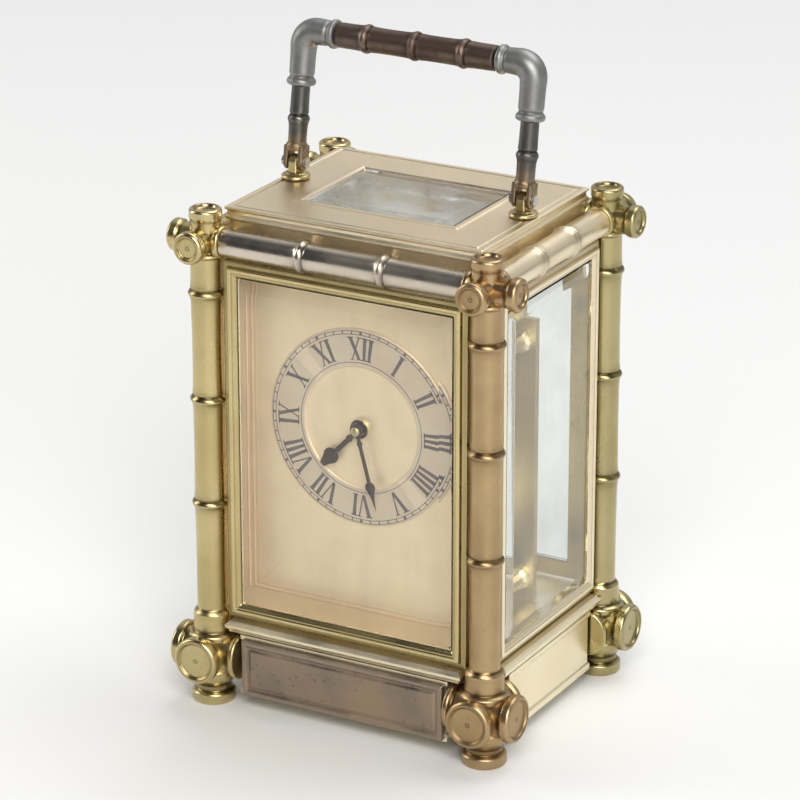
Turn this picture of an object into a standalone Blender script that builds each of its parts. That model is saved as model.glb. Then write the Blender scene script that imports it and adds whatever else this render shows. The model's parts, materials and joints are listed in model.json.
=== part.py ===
"""Bamboo-case carriage clock, built as separate pieces in Blender 4.5.

Sizes are in millimetres and become metres when a mesh is made. The origin is on the table under
the middle of the case, +Z is up, the dial faces -Y and +X is on the viewer's right.
Wheels turn about axes along Y; their outlines are drawn as the dial's viewer sees them.
"""
import math

import bmesh
import bpy
from mathutils import Matrix, Vector
from mathutils.geometry import delaunay_2d_cdt

MM = 0.001
GAP = 0.2                        # between pieces that rest on each other
RUNNING = 0.35                   # round a pin or an arbor in its hole

# ---- case, overall -------------------------------------------------------------------------
PITCH_X = 82.0                   # between the pillars' axes, across the front
PITCH_Y = 66.5                   # between the pillars' axes, front to back
FRIEZE_Z = 129.4                 # axis of the canes round the top
FINIAL_RISE = 8.6                # pillars' tops above that axis
SHAFT_R = 4.2
NODE_PROUD = 0.6                 # a bamboo node, outside its cane
COLLAR_PROUD = 0.9
NODE_SHARES = (0.10, 0.39, 0.68)  # where the bamboo nodes are, from the shaft's top
NODE_HALF = 1.5
KNUCKLE_Z = 14.0                 # axis of the stubs at the base
KNUCKLE_R = 5.6
RING_PROUD = 0.7                 # the ring at each end of a knuckle's stub
KNUCKLE_HALF = 6.6
FOOT_R = 5.9
STUB_REACH = 10.0                # outer end of every corner stub, from the pillar's axis
KNUCKLE_INWARD = 9.4
FRIEZE_R = 3.8
FRIEZE_PROUD = 0.5
FRIEZE_INWARD = 5.6
PILLAR_SIDES = 10

# ---- base ----------------------------------------------------------------------------------
PLINTH_LOW = 3.6
FLOOR_LOW, FLOOR_HIGH = 21.3, 24.6
PLINTH_PROUD = 2.1               # plinth faces outside the pillars' axes
FLOOR_PROUD = 3.2
PLINTH_OPENING = (54.0, 39.0)
PANEL_T = 1.3
PANEL_MARGIN = 0.9

# ---- glazed walls --------------------------------------------------------------------------
WALL_LOW = FLOOR_HIGH + 0.4
WALL_TOP_CLEAR = 0.75
FRAME_T = 3.2
FRAME_W = 4.2
GLASS_T = 2.4
TOP_RISE = 5.0                   # top face above the tops of the canes
TOP_PLATE_T = 4.0
TOP_GLASS_T = 2.8
SKIRT_T = 2.4                    # wall under the top plate, inside the canes
TOP_OVERHANG = 1.2               # top plate beyond that wall
WINDOW = (44.0, 32.0)            # opening over the escapement

# ---- rear door -----------------------------------------------------------------------------
DOOR_T = 3.0
DOOR_CLEAR = 1.3                 # door edge to a pillar's node
DOOR_STILE = 4.6
ROD_R = 0.8
ROD_INSET = 1.9                  # rod's axis from the door's edge
ROD_DEPTH = 1.9                  # how far the rod enters the floor and the cane
KNOB_R = 2.6
KNOB_LENGTH = 5.6

# ---- handle --------------------------------------------------------------------------------
HANDLE_HALF = 33.6               # legs' axes from the middle
PIVOT_RISE = 4.2                 # pivot above the top plate
HANDLE_RISE = 34.7               # grip's axis above the pivot
HANDLE_LEAN_DEG = 9.0            # the bail rests leaning back by this
PIN_R = 0.85
LUG_T = 2.4
CHEEK_T = 1.2
LUG_R = 2.2
LEG_R = 2.5
LEG_TOP = 20.0                   # top of a leg above the pivot
ELBOW_R = 3.6
ELBOW_BEND = 4.2
ELBOW_INNER = 23.4               # inner end of an elbow from the middle
GRIP_R = 3.4
GRIP_NODE_R = 3.75

# ---- dial and hands ------------------------------------------------------------------------
CENTRE_Z = 82.2
MASK_FRONT, MASK_BACK = -23.5, -22.5
RING_T = 0.5
RING_R_OUT, RING_R_IN = 27.0, 16.6
HOUR_LENGTH, MINUTE_LENGTH = 16.0, 23.0
HAND_T = 0.4
TIME_MINUTES = 27.5
TIME_HOUR = 7
HOUR_HAND_Y, MINUTE_HAND_Y = -25.4, -26.7   # the hands' front faces

# ---- movement ------------------------------------------------------------------------------
PLATE_HALF_X = 29.0
PLATE_HIGH = 104.9
PLATE_T = 2.0
FRONT_PLATE_Y, BACK_PLATE_Y = -18.0, 14.0   # the plates' front faces
POST_X, POST_LOW_Z, POST_HIGH_Z, POST_R = 25.0, 31.0, 98.5, 2.2
PIVOT_R = 0.55
ARBOR_R = 0.75
BARREL_Z = 46.0
DRUM_R, DRUM_FRONT, DRUM_BACK, DRUM_WALL = 17.6, -8.0, 9.8, 1.2
WINDING_R, WINDING_SQUARE, WINDING_END = 2.2, 3.2, 26.6
RATCHET_TEETH, RATCHET_R = 18, 6.6
SETTING_SQUARE = 2.4
# (teeth, module) of each pair, wheel then pinion
GREAT, INTERMEDIATE_PINION, GREAT_MODULE = 48, 8, 0.8
INTERMEDIATE, CENTRE_PINION, INTERMEDIATE_MODULE = 48, 8, 0.55
CENTRE, THIRD_PINION, CENTRE_MODULE = 48, 6, 0.44
THIRD, CONTRATE_PINION, THIRD_MODULE = 45, 6, 0.40
CONTRATE, ESCAPE_PINION, CONTRATE_R = 36, 6, 8.4
CANNON, MINUTE_WHEEL, MINUTE_MODULE = 8, 24, 0.5625
MINUTE_PINION, HOUR_WHEEL, HOUR_MODULE = 6, 24, 0.6
SETTING_PINION = 12
WHEEL_T, PINION_T = 1.3, 3.0
PLATFORM_LOW, PLATFORM_T = 105.1, 1.5
PLATFORM_HALF_X = 15.0
ESCAPE_TEETH, ESCAPE_R = 15, 3.7
ESCAPEMENT_Z = 108.2             # underside of the escape wheel and the lever
BALANCE_Y, BALANCE_Z, BALANCE_R = -6.2, 111.0, 8.0
COCK_Z = 115.2

HALF_X, HALF_Y = PITCH_X / 2, PITCH_Y / 2
PILLAR_TOP_Z = FRIEZE_Z + FINIAL_RISE
SHAFT_NODE_R, COLLAR_R = SHAFT_R + NODE_PROUD, SHAFT_R + COLLAR_PROUD
KNUCKLE_RING_R, FRIEZE_RING_R = KNUCKLE_R + RING_PROUD, FRIEZE_R + FRIEZE_PROUD
FRAME_TOP = FRIEZE_Z - FRIEZE_R - WALL_TOP_CLEAR
TOP_FACE = FRIEZE_Z + FRIEZE_R + TOP_RISE
PIVOT_Z = TOP_FACE + PIVOT_RISE
DIAL_VIEW = (math.radians(90), 0, 0)        # local +Z turned to -Y, local +Y to +Z
SHAFT_TOP = FRIEZE_Z - FRIEZE_RING_R
SHAFT_LOW = KNUCKLE_Z + KNUCKLE_HALF


# ---- making meshes -------------------------------------------------------------------------
def turned(profile, sides):
    """Solid of revolution about Z through (radius, height) points. A profile that ends away from
    the axis is closed into a ring."""
    mesh = bmesh.new()
    points = [mesh.verts.new((radius, 0, height)) for radius, height in profile]
    pairs = list(zip(points, points[1:]))
    if profile[0][0] > 0:
        pairs.append((points[-1], points[0]))
    edges = [mesh.edges.new(pair) for pair in pairs]
    bmesh.ops.spin(mesh, geom=points + edges, cent=(0, 0, 0), axis=(0, 0, 1), angle=math.tau,
                   steps=sides, use_merge=True)
    bmesh.ops.remove_doubles(mesh, verts=mesh.verts, dist=1e-4)
    bmesh.ops.recalc_face_normals(mesh, faces=mesh.faces)
    return mesh


def anticlockwise(outline):
    area = sum(ax * by - bx * ay for (ax, ay), (bx, by) in zip(outline, outline[1:] + outline[:1]))
    return outline if area > 0 else outline[::-1]


def extruded(outlines, low, high):
    """Prism of closed 2-D outlines between two heights. Those after the first are holes in it."""
    corners, loops = [], []
    for outline in outlines:
        start = len(corners)
        corners += [Vector(point) for point in anticlockwise(outline)]
        loops.append(list(range(start, len(corners))))
    corners, _, triangles, _, _, owners = delaunay_2d_cdt(corners, [], loops, 1, 1e-5)
    triangles = [triangle for triangle, inside in zip(triangles, owners) if inside == [0]]
    mesh = bmesh.new()
    lower = [mesh.verts.new((x, y, low)) for x, y in corners]
    upper = [mesh.verts.new((x, y, high)) for x, y in corners]
    for triangle in triangles:
        mesh.faces.new([lower[k] for k in reversed(triangle)])
        mesh.faces.new([upper[k] for k in triangle])
    halves = {(triangle[k - 1], triangle[k]) for triangle in triangles for k in range(3)}
    for a, b in sorted(halves):
        if (b, a) not in halves:
            mesh.faces.new((lower[a], lower[b], upper[b], upper[a]))
    bmesh.ops.recalc_face_normals(mesh, faces=mesh.faces)
    return mesh


def block(low, high):
    """Box between two corners."""
    mesh = bmesh.new()
    size = Vector(high) - Vector(low)
    middle = (Vector(high) + Vector(low)) / 2
    bmesh.ops.create_cube(mesh, size=1, matrix=Matrix.LocRotScale(middle, None, size))
    return mesh


def swept(stations, sides):
    """Round bar through (centre, direction, radius) stations that lie in the XZ plane."""
    mesh = bmesh.new()
    rings = []
    for centre, direction, radius in stations:
        across = Vector((direction[1], 0, -direction[0])).normalized()
        middle = Vector((centre[0], 0, centre[1]))
        angles = [math.tau * k / sides for k in range(sides)]
        rings.append([mesh.verts.new(middle + radius * (math.cos(a) * across + math.sin(a) * Vector((0, 1, 0))))
                      for a in angles])
    for ring, following in zip(rings, rings[1:]):
        for k in range(sides):
            mesh.faces.new((ring[k], ring[k - 1], following[k - 1], following[k]))
    mesh.faces.new(rings[0])
    mesh.faces.new(rings[-1])
    bmesh.ops.recalc_face_normals(mesh, faces=mesh.faces)
    return mesh


def moved(mesh, turn=(0, 0, 0), at=(0, 0, 0)):
    """The mesh turned by XYZ angles in radians and then shifted."""
    matrix = Matrix.Translation(at) @ Matrix.Rotation(turn[2], 4, "Z") @ Matrix.Rotation(turn[1], 4, "Y") \
        @ Matrix.Rotation(turn[0], 4, "X")
    mesh.transform(matrix)
    return mesh


def as_object(mesh, name):
    data = bpy.data.meshes.new(name)
    mesh.to_mesh(data)
    mesh.free()
    made = bpy.data.objects.new(name, data)
    bpy.context.scene.collection.objects.link(made)
    return made


def combined(base, add=(), cut=()):
    """The base with some meshes joined to it and others cut from it, by exact Booleans."""
    target = as_object(base, "base")
    helpers = []
    for operation, meshes in (("UNION", add), ("DIFFERENCE", cut)):
        for mesh in meshes:
            helper = as_object(mesh, "helper")
            helpers.append(helper)
            modifier = target.modifiers.new(operation, "BOOLEAN")
            modifier.operation = operation
            modifier.object = helper
    result = bmesh.new()
    result.from_mesh(target.evaluated_get(bpy.context.evaluated_depsgraph_get()).to_mesh())
    for helper in [target, *helpers]:
        bpy.data.objects.remove(helper)
    return result


def finish(mesh):
    """Mesh data in metres, with its round faces shaded smooth."""
    mesh.transform(Matrix.Scale(MM, 4))
    data = bpy.data.meshes.new("piece")
    mesh.to_mesh(data)
    mesh.free()
    data.shade_smooth()
    data.set_sharp_from_angle(angle=math.radians(35))
    return data


def place(name, data, material, at=(0, 0, 0), turn=(0, 0, 0), parent=None):
    """One named piece. Its place is relative to its parent's, in millimetres."""
    piece = bpy.data.objects.new(name, data)
    bpy.context.scene.collection.objects.link(piece)
    piece.location = Vector(at) * MM
    piece.rotation_euler = turn
    piece.parent = parent
    if not data.materials:
        data.materials.append(material)
    return piece


def pivot(name, at, turn=(0, 0, 0)):
    """Empty on a joint's axis."""
    made = bpy.data.objects.new(name, None)
    bpy.context.scene.collection.objects.link(made)
    made.location = Vector(at) * MM
    made.rotation_euler = turn
    return made


def finish_of(name, colour, roughness, metallic, alpha=1.0):
    material = bpy.data.materials.new(name)
    material.use_nodes = True
    shader = material.node_tree.nodes["Principled BSDF"]
    shader.inputs["Base Color"].default_value = (*colour, 1)
    shader.inputs["Roughness"].default_value = roughness
    shader.inputs["Metallic"].default_value = metallic
    shader.inputs["Alpha"].default_value = alpha
    return material


# ---- outlines ------------------------------------------------------------------------------
def circle(radius, count=12, centre=(0, 0)):
    return [(centre[0] + radius * math.cos(math.tau * k / count),
             centre[1] + radius * math.sin(math.tau * k / count)) for k in range(count)]


def rectangle(half_x, half_y, centre=(0, 0)):
    return [(centre[0] + sx * half_x, centre[1] + sy * half_y)
            for sx, sy in ((-1, -1), (1, -1), (1, 1), (-1, 1))]


def notched(half_x, half_y, notch_x, notch_y):
    """Rectangle whose four corners are cut away square, so that it fits between the pillars."""
    quarter = [(notch_x, half_y), (notch_x, notch_y), (half_x, notch_y)]
    first = [(x, y) for x, y in quarter]
    second = [(x, -y) for x, y in reversed(quarter)]
    third = [(-x, -y) for x, y in quarter]
    fourth = [(-x, y) for x, y in reversed(quarter)]
    return first + second + third + fourth


def gear(teeth, module, phase):
    """Wheel with pointed teeth that are narrow enough to run freely. phase is a tooth's angle."""
    pitch_r = teeth * module / 2
    root, tip = pitch_r - 1.3 * module, pitch_r + 0.85 * module
    step = math.tau / teeth
    outline = []
    for k in range(teeth):
        middle = phase + k * step
        for radius, share in ((root, -0.25), (tip, 0.0), (root, 0.25)):
            angle = middle + share * step
            outline.append((radius * math.cos(angle), radius * math.sin(angle)))
    return outline


def crossings(inner, outer, count, arm, phase=0.0):
    """The openings between a wheel's spokes, with arc-shaped inner and outer sides."""
    found = []
    for k in range(count):
        middle = phase + math.tau * (k + 0.5) / count
        outline = []
        for radius, angles in ((outer, (-1, -0.33, 0.33, 1)), (inner, (1, -1))):
            half = math.pi / count - math.asin(min(0.9, arm / 2 / radius))
            outline += [(radius * math.cos(middle + a * half), radius * math.sin(middle + a * half))
                        for a in angles]
        found.append(outline)
    return found


def meshed(phase, teeth, other_teeth, direction):
    """Phase of a wheel that meshes with one of a given phase, across the line of centres."""
    return direction + math.pi - (phase - direction) * teeth / other_teeth - math.pi / other_teeth


def reach(origin, distance, direction):
    return (origin[0] + distance * math.cos(direction), origin[1] + distance * math.sin(direction))


def apart(teeth, other_teeth, module):
    return (teeth + other_teeth) * module / 2


# ---- where the arbors stand, as (x, z) -----------------------------------------------------
def third_point(low, high, from_low, from_high):
    """The point right of the line from low up to high, at these distances from the two."""
    span = math.dist(low, high)
    along = (from_low ** 2 - from_high ** 2 + span ** 2) / (2 * span)
    aside = math.sqrt(from_low ** 2 - along ** 2)
    ux, uz = (high[0] - low[0]) / span, (high[1] - low[1]) / span
    return (low[0] + along * ux + aside * uz, low[1] + along * uz - aside * ux)


def bearing(start, end):
    return math.atan2(end[1] - start[1], end[0] - start[0])


CENTRE_AT = (0.0, CENTRE_Z)
BARREL_AT = (0.0, BARREL_Z)
INTERMEDIATE_AT = third_point(BARREL_AT, CENTRE_AT, apart(GREAT, INTERMEDIATE_PINION, GREAT_MODULE),
                              apart(INTERMEDIATE, CENTRE_PINION, INTERMEDIATE_MODULE))
THIRD_AT = reach(CENTRE_AT, apart(CENTRE, THIRD_PINION, CENTRE_MODULE), math.radians(140))
CONTRATE_RISE = math.sqrt(apart(THIRD, CONTRATE_PINION, THIRD_MODULE) ** 2 - THIRD_AT[0] ** 2)
CONTRATE_AT = (0.0, THIRD_AT[1] + CONTRATE_RISE)
MINUTE_AT = reach(CENTRE_AT, apart(CANNON, MINUTE_WHEEL, MINUTE_MODULE), math.radians(20))
SETTING_AT = reach(MINUTE_AT, apart(MINUTE_WHEEL, SETTING_PINION, MINUTE_MODULE), math.radians(10))
GREAT_PHASE = math.radians(90)
INTERMEDIATE_PHASE = meshed(GREAT_PHASE, GREAT, INTERMEDIATE_PINION, bearing(BARREL_AT, INTERMEDIATE_AT))
CENTRE_PHASE = meshed(INTERMEDIATE_PHASE, INTERMEDIATE, CENTRE_PINION, bearing(INTERMEDIATE_AT, CENTRE_AT))
THIRD_PHASE = meshed(CENTRE_PHASE, CENTRE, THIRD_PINION, bearing(CENTRE_AT, THIRD_AT))
CONTRATE_PHASE = meshed(THIRD_PHASE, THIRD, CONTRATE_PINION, bearing(THIRD_AT, CONTRATE_AT))
CANNON_PHASE = math.radians(90)
MINUTE_PHASE = meshed(CANNON_PHASE, CANNON, MINUTE_WHEEL, bearing(CENTRE_AT, MINUTE_AT))
HOUR_PHASE = meshed(MINUTE_PHASE, MINUTE_PINION, HOUR_WHEEL, bearing(MINUTE_AT, CENTRE_AT))
SETTING_PHASE = meshed(MINUTE_PHASE, MINUTE_WHEEL, SETTING_PINION, bearing(MINUTE_AT, SETTING_AT))
# depths of the wheels, as the Y of their middles
GREAT_Y, INTERMEDIATE_Y, CENTRE_Y, THIRD_Y = 11.2, -11.8, -6.4, 2.6
CONTRATE_Y, CONTRATE_TOOTH = 5.7, 1.0
MINUTE_LAYER, HOUR_LAYER = (-19.2, -18.3), (-20.7, -19.5)
ESCAPE_R_PITCH = CONTRATE_R * ESCAPE_PINION / CONTRATE
ESCAPE_Y = CONTRATE_Y + WHEEL_T / 2 + CONTRATE_TOOTH / 2 + ESCAPE_R_PITCH
PALLET_Y = ESCAPE_Y - 5.4


# ---- case ----------------------------------------------------------------------------------
def stub(reach_out, inward, radius, ring_r, spin):
    """Bar along -X from reach_out outside the pillar's axis to inward inside it, with a ring near each end.
    spin turns its facets about its own axis."""
    profile = [(0, -inward), (ring_r, -inward), (ring_r, 1.6 - inward), (radius, 2.4 - inward),
               (radius, reach_out - 2.8), (ring_r, reach_out - 1.8), (ring_r - 0.4, reach_out), (0, reach_out)]
    return moved(moved(turned(profile, PILLAR_SIDES), turn=(0, 0, spin)), turn=(0, math.radians(-90), 0))


def pillar_mesh():
    """Corner pillar: foot, knuckle, bamboo shaft and finial, with its stubs towards -X and -Y."""
    profile = [(0, 0), (FOOT_R - 0.4, 0), (FOOT_R, 0.7), (FOOT_R, 2.8), (FOOT_R - 0.9, 4.4),
               (KNUCKLE_RING_R, KNUCKLE_Z - KNUCKLE_HALF + 0.6),
               (KNUCKLE_RING_R, SHAFT_LOW - 0.9), (COLLAR_R, SHAFT_LOW), (COLLAR_R, FLOOR_HIGH + 0.9),
               (SHAFT_R, FLOOR_HIGH + 2.2)]
    shaft = SHAFT_TOP - FLOOR_HIGH
    for share in reversed(NODE_SHARES):
        middle = SHAFT_TOP - share * shaft
        profile += [(SHAFT_R, middle - NODE_HALF), (SHAFT_NODE_R, middle), (SHAFT_R, middle + NODE_HALF)]
    profile += [(SHAFT_R, SHAFT_TOP - 1.6), (SHAFT_NODE_R, SHAFT_TOP - 0.5), (SHAFT_R, SHAFT_TOP + 0.6),
                (SHAFT_R, PILLAR_TOP_Z - 1.0), (SHAFT_R - 0.6, PILLAR_TOP_Z), (0, PILLAR_TOP_Z)]
    stubs = []
    # facets are turned a little from one bar to the next, so that no two lie flat on each other
    for turn, spin in ((0, 0), (math.radians(90), 0.4 * math.pi / PILLAR_SIDES)):
        stubs.append(moved(stub(STUB_REACH, KNUCKLE_INWARD, KNUCKLE_R, KNUCKLE_RING_R, spin),
                           turn=(0, 0, turn), at=(0, 0, KNUCKLE_Z)))
        stubs.append(moved(stub(STUB_REACH - 0.2, FRIEZE_INWARD, FRIEZE_R, FRIEZE_RING_R, spin),
                           turn=(0, 0, turn), at=(0, 0, FRIEZE_Z)))
    column = moved(turned(profile, PILLAR_SIDES), turn=(0, 0, math.pi / PILLAR_SIDES))
    return finish(combined(column, add=stubs))


def build_pillars(brass):
    data = pillar_mesh()
    corners = (("front_left", -1, -1, 0), ("front_right", 1, -1, 90),
               ("back_right", 1, 1, 180), ("back_left", -1, 1, 270))
    for name, sx, sy, turn in corners:
        place(f"pillar_{name}", data, brass, at=(sx * HALF_X, sy * HALF_Y, 0), turn=(0, 0, math.radians(turn)))


def build_base(brass, bronze):
    notch_x, notch_y = HALF_X - KNUCKLE_INWARD - 0.4, HALF_Y - KNUCKLE_INWARD - 0.4
    outline = notched(HALF_X + PLINTH_PROUD, HALF_Y + PLINTH_PROUD, notch_x, notch_y)
    hole = rectangle(PLINTH_OPENING[0] / 2, PLINTH_OPENING[1] / 2)
    place("plinth_frame", finish(extruded([outline, hole], PLINTH_LOW, FLOOR_LOW - GAP)), brass)
    panel_front = -(HALF_Y + PLINTH_PROUD + GAP + PANEL_T)
    panel = block((PANEL_MARGIN - notch_x, panel_front, PLINTH_LOW + PANEL_MARGIN),
                  (notch_x - PANEL_MARGIN, panel_front + PANEL_T, FLOOR_LOW - GAP - PANEL_MARGIN))
    place("plinth_front_panel", finish(panel), bronze)
    clear = COLLAR_R + 0.4
    floor = extruded([notched(HALF_X + FLOOR_PROUD, HALF_Y + FLOOR_PROUD, HALF_X - clear, HALF_Y - clear)],
                     FLOOR_LOW, FLOOR_HIGH)
    hole = moved(turned([(0, 0), (ROD_R + RUNNING, 0), (ROD_R + RUNNING, 4), (0, 4)], 12),
                 at=(ROD_X, HALF_Y, FLOOR_HIGH - ROD_DEPTH - 0.4))
    place("floor_plate", finish(combined(floor, cut=[hole])), brass)


def frieze_mesh(length):
    """Horizontal cane between two pillars' stubs, with a bamboo node a third of the way from each end."""
    half = length / 2
    profile = [(0, -half), (FRIEZE_R, -half)]
    for middle in (-length / 6, length / 6):
        profile += [(FRIEZE_R, middle - 1.2), (FRIEZE_RING_R, middle), (FRIEZE_R, middle + 1.2)]
    profile += [(FRIEZE_R, half), (0, half)]
    return moved(turned(profile, PILLAR_SIDES), turn=(0, math.radians(90), 0))


def build_frieze(brass):
    across = PITCH_X - 2 * (FRIEZE_INWARD + GAP)
    along = PITCH_Y - 2 * (FRIEZE_INWARD + GAP)
    data = finish(frieze_mesh(across))
    place("frieze_cane_front", data, brass, at=(0, -HALF_Y, FRIEZE_Z))
    bore_low = FRIEZE_Z - FRIEZE_R - 1.0
    bore = turned([(0, bore_low), (ROD_R + RUNNING, bore_low), (ROD_R + RUNNING, FRAME_TOP + ROD_DEPTH + 1.2),
                   (0, FRAME_TOP + ROD_DEPTH + 1.2)], 12)
    back = combined(moved(frieze_mesh(across), at=(0, 0, FRIEZE_Z)), cut=[moved(bore, at=(ROD_X, 0, 0))])
    place("frieze_cane_back", finish(moved(back, at=(0, 0, -FRIEZE_Z))), brass, at=(0, HALF_Y, FRIEZE_Z))
    side = finish(frieze_mesh(along))
    for name, sx in (("left", -1), ("right", 1)):
        place(f"frieze_cane_{name}", side, brass, at=(sx * HALF_X, 0, FRIEZE_Z), turn=(0, 0, math.radians(90)))


def build_top(brass, glass):
    """Top plate with a wall under it that stands between the canes, and the pane over the escapement."""
    half_x = HALF_X - FRIEZE_RING_R - 0.3
    half_y = HALF_Y - FRIEZE_RING_R - 0.35
    low = TOP_FACE - TOP_PLATE_T
    window = rectangle(WINDOW[0] / 2, WINDOW[1] / 2)
    plate = extruded([rectangle(half_x + TOP_OVERHANG, half_y + TOP_OVERHANG), window], low, TOP_FACE)
    inside = rectangle(half_x - SKIRT_T, half_y - SKIRT_T)
    skirt = extruded([rectangle(half_x, half_y), inside], FRIEZE_Z + 0.5, low + 1.0)
    place("top_plate", finish(combined(plate, add=[skirt])), brass)
    pane = bevelled_pane(WINDOW[0] / 2 - GAP, WINDOW[1] / 2 - GAP, TOP_GLASS_T)
    place("top_glass", finish(pane), glass, at=(0, 0, TOP_FACE - TOP_GLASS_T - GAP))


def bevelled_pane(half_x, half_y, thick, bevel=3.6, edge=1.2):
    """Pane in the XY plane whose outer face, at +Z, slopes down to a thin edge all round."""
    mesh = bmesh.new()
    rings = []
    for dx, dy, z in ((half_x, half_y, 0), (half_x, half_y, edge), (half_x - bevel, half_y - bevel, thick)):
        rings.append([mesh.verts.new((x, y, z)) for x, y in rectangle(dx, dy)])
    for ring, following in zip(rings, rings[1:]):
        for k in range(4):
            mesh.faces.new((ring[k - 1], ring[k], following[k], following[k - 1]))
    mesh.faces.new(rings[0])
    mesh.faces.new(rings[-1])
    bmesh.ops.recalc_face_normals(mesh, faces=mesh.faces)
    return mesh


def build_front(brass, glass):
    """Fixed glazed frame over the dial. It is made flat and stood up facing -Y."""
    half_x = HALF_X - SHAFT_NODE_R - 0.4
    half_z = (FRAME_TOP - WALL_LOW) / 2
    middle = (FRAME_TOP + WALL_LOW) / 2
    opening = rectangle(half_x - FRAME_W, half_z - FRAME_W)
    frame = extruded([rectangle(half_x, half_z), opening], -FRAME_T / 2, FRAME_T / 2)
    place("front_frame", finish(frame), brass, at=(0, -HALF_Y, middle), turn=DIAL_VIEW)
    pane = bevelled_pane(half_x - FRAME_W - GAP, half_z - FRAME_W - GAP, GLASS_T)
    place("front_glass", finish(pane), glass, at=(0, GLASS_T / 2 - HALF_Y, middle), turn=DIAL_VIEW)


def build_sides(brass, glass):
    """Glazed frames between the front and back pillars. Each is made flat and stood up facing outwards."""
    half_y = HALF_Y - SHAFT_NODE_R - 0.4
    half_z = (FRAME_TOP - WALL_LOW) / 2
    middle = (FRAME_TOP + WALL_LOW) / 2
    opening = rectangle(half_y - FRAME_W, half_z - FRAME_W)
    frame = finish(extruded([rectangle(half_y, half_z), opening], -FRAME_T / 2, FRAME_T / 2))
    pane = finish(bevelled_pane(half_y - FRAME_W - GAP, half_z - FRAME_W - GAP, GLASS_T))
    for name, sx in (("left", -1), ("right", 1)):
        turn = (math.radians(90), 0, sx * math.radians(90))
        place(f"side_frame_{name}", frame, brass, at=(sx * HALF_X, 0, middle), turn=turn)
        place(f"side_glass_{name}", pane, glass, at=(sx * (HALF_X - GLASS_T / 2), 0, middle), turn=turn)


# ---- rear door -----------------------------------------------------------------------------
DOOR_HALF = HALF_X - SHAFT_NODE_R - DOOR_CLEAR
ROD_X = ROD_INSET - DOOR_HALF


def build_door(brass, steel, glass):
    """Glazed door that turns on a rod in its left stile, with a knob on the other stile."""
    hinge = pivot("door_pivot", (ROD_X, HALF_Y, 0))
    low, high = WALL_LOW + 0.4, FRAME_TOP - 0.2
    half_z, middle = (high - low) / 2, (high + low) / 2
    opening = rectangle(DOOR_HALF - DOOR_STILE, half_z - DOOR_STILE)
    frame = extruded([rectangle(DOOR_HALF, half_z), opening], -DOOR_T / 2, DOOR_T / 2)
    frame = moved(frame, turn=DIAL_VIEW, at=(-ROD_X, 0, middle))
    bore_r = ROD_R + RUNNING - 0.1
    bore = turned([(0, low - 1), (bore_r, low - 1), (bore_r, high + 1), (0, high + 1)], 12)
    place("rear_door_frame", finish(combined(frame, cut=[bore])), brass, parent=hinge)
    pane = bevelled_pane(DOOR_HALF - DOOR_STILE - GAP, half_z - DOOR_STILE - GAP, GLASS_T)
    outward = (math.radians(90), 0, math.radians(180))
    place("rear_door_glass", finish(pane), glass, at=(-ROD_X, -GLASS_T / 2, middle), turn=outward, parent=hinge)
    profile = [(0, 0), (KNOB_R - 0.3, 0), (1.1, 1.2), (1.1, 2.4), (KNOB_R, 3.4), (KNOB_R, 4.6),
               (KNOB_R - 0.8, KNOB_LENGTH), (0, KNOB_LENGTH)]
    place("door_knob", finish(turned(profile, 10)), brass, parent=hinge, turn=(math.radians(-90), 0, 0),
          at=(-ROD_X + DOOR_HALF - DOOR_STILE / 2, DOOR_T / 2 + GAP, middle))
    bottom, top = FLOOR_HIGH - ROD_DEPTH, FRAME_TOP + ROD_DEPTH
    rod = turned([(0, bottom), (ROD_R, bottom), (ROD_R, top), (0, top)], 12)
    place("door_hinge_rod", finish(rod), steel, at=(ROD_X, HALF_Y, 0))


# ---- handle --------------------------------------------------------------------------------
def eye(low, thick, radius, height):
    """Flat tongue across X, round at the bottom about the pivot, up or down to a height."""
    sign = math.copysign(1, height)
    arc = [(radius * math.cos(a), -sign * radius * math.sin(a)) for a in
           [math.pi * k / 6 for k in range(7)]]
    outline = [*arc, (-radius, height), (radius, height)]
    mesh = extruded([outline], low, low + thick)
    # local X to Y, local Y to Z, local Z to X
    mesh.transform(Matrix(((0, 0, 1, 0), (1, 0, 0, 0), (0, 1, 0, 0), (0, 0, 0, 1))))
    return mesh


def cross_hole(radius, half_length):
    return moved(turned([(0, -half_length), (radius, -half_length), (radius, half_length), (0, half_length)], 12),
                 turn=(0, math.radians(90), 0))


def post_mesh():
    """Turned foot on the top plate with a drilled lug; its origin is on the pivot."""
    base = GAP - PIVOT_RISE
    foot = turned([(0, base), (3.8, base), (3.8, base + 0.7), (2.4, base + 1.5), (0, base + 1.5)], 14)
    return finish(combined(foot, add=[eye(-LUG_T / 2, LUG_T, LUG_R - 0.1, base + 0.6)],
                           cut=[cross_hole(PIN_R + RUNNING, 4)]))


def leg_mesh():
    """Straight leg with a fork that straddles the post's lug; its origin is on the pivot."""
    wide = LUG_T / 2 + RUNNING + CHEEK_T
    fork = eye(-wide, 2 * wide, LUG_R, 4.6)
    rod = turned([(0, 3.4), (LEG_R, 3.4), (LEG_R, 10.4), (LEG_R + 0.35, 11.3), (LEG_R, 12.2),
                  (LEG_R, LEG_TOP), (0, LEG_TOP)], PILLAR_SIDES)
    slot_half = LUG_T / 2 + RUNNING
    slot = block((-slot_half, -4, -4), (slot_half, 4, LUG_R + 0.6))
    return finish(combined(fork, add=[rod], cut=[slot, cross_hole(PIN_R + RUNNING / 2, 4)]))


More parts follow.
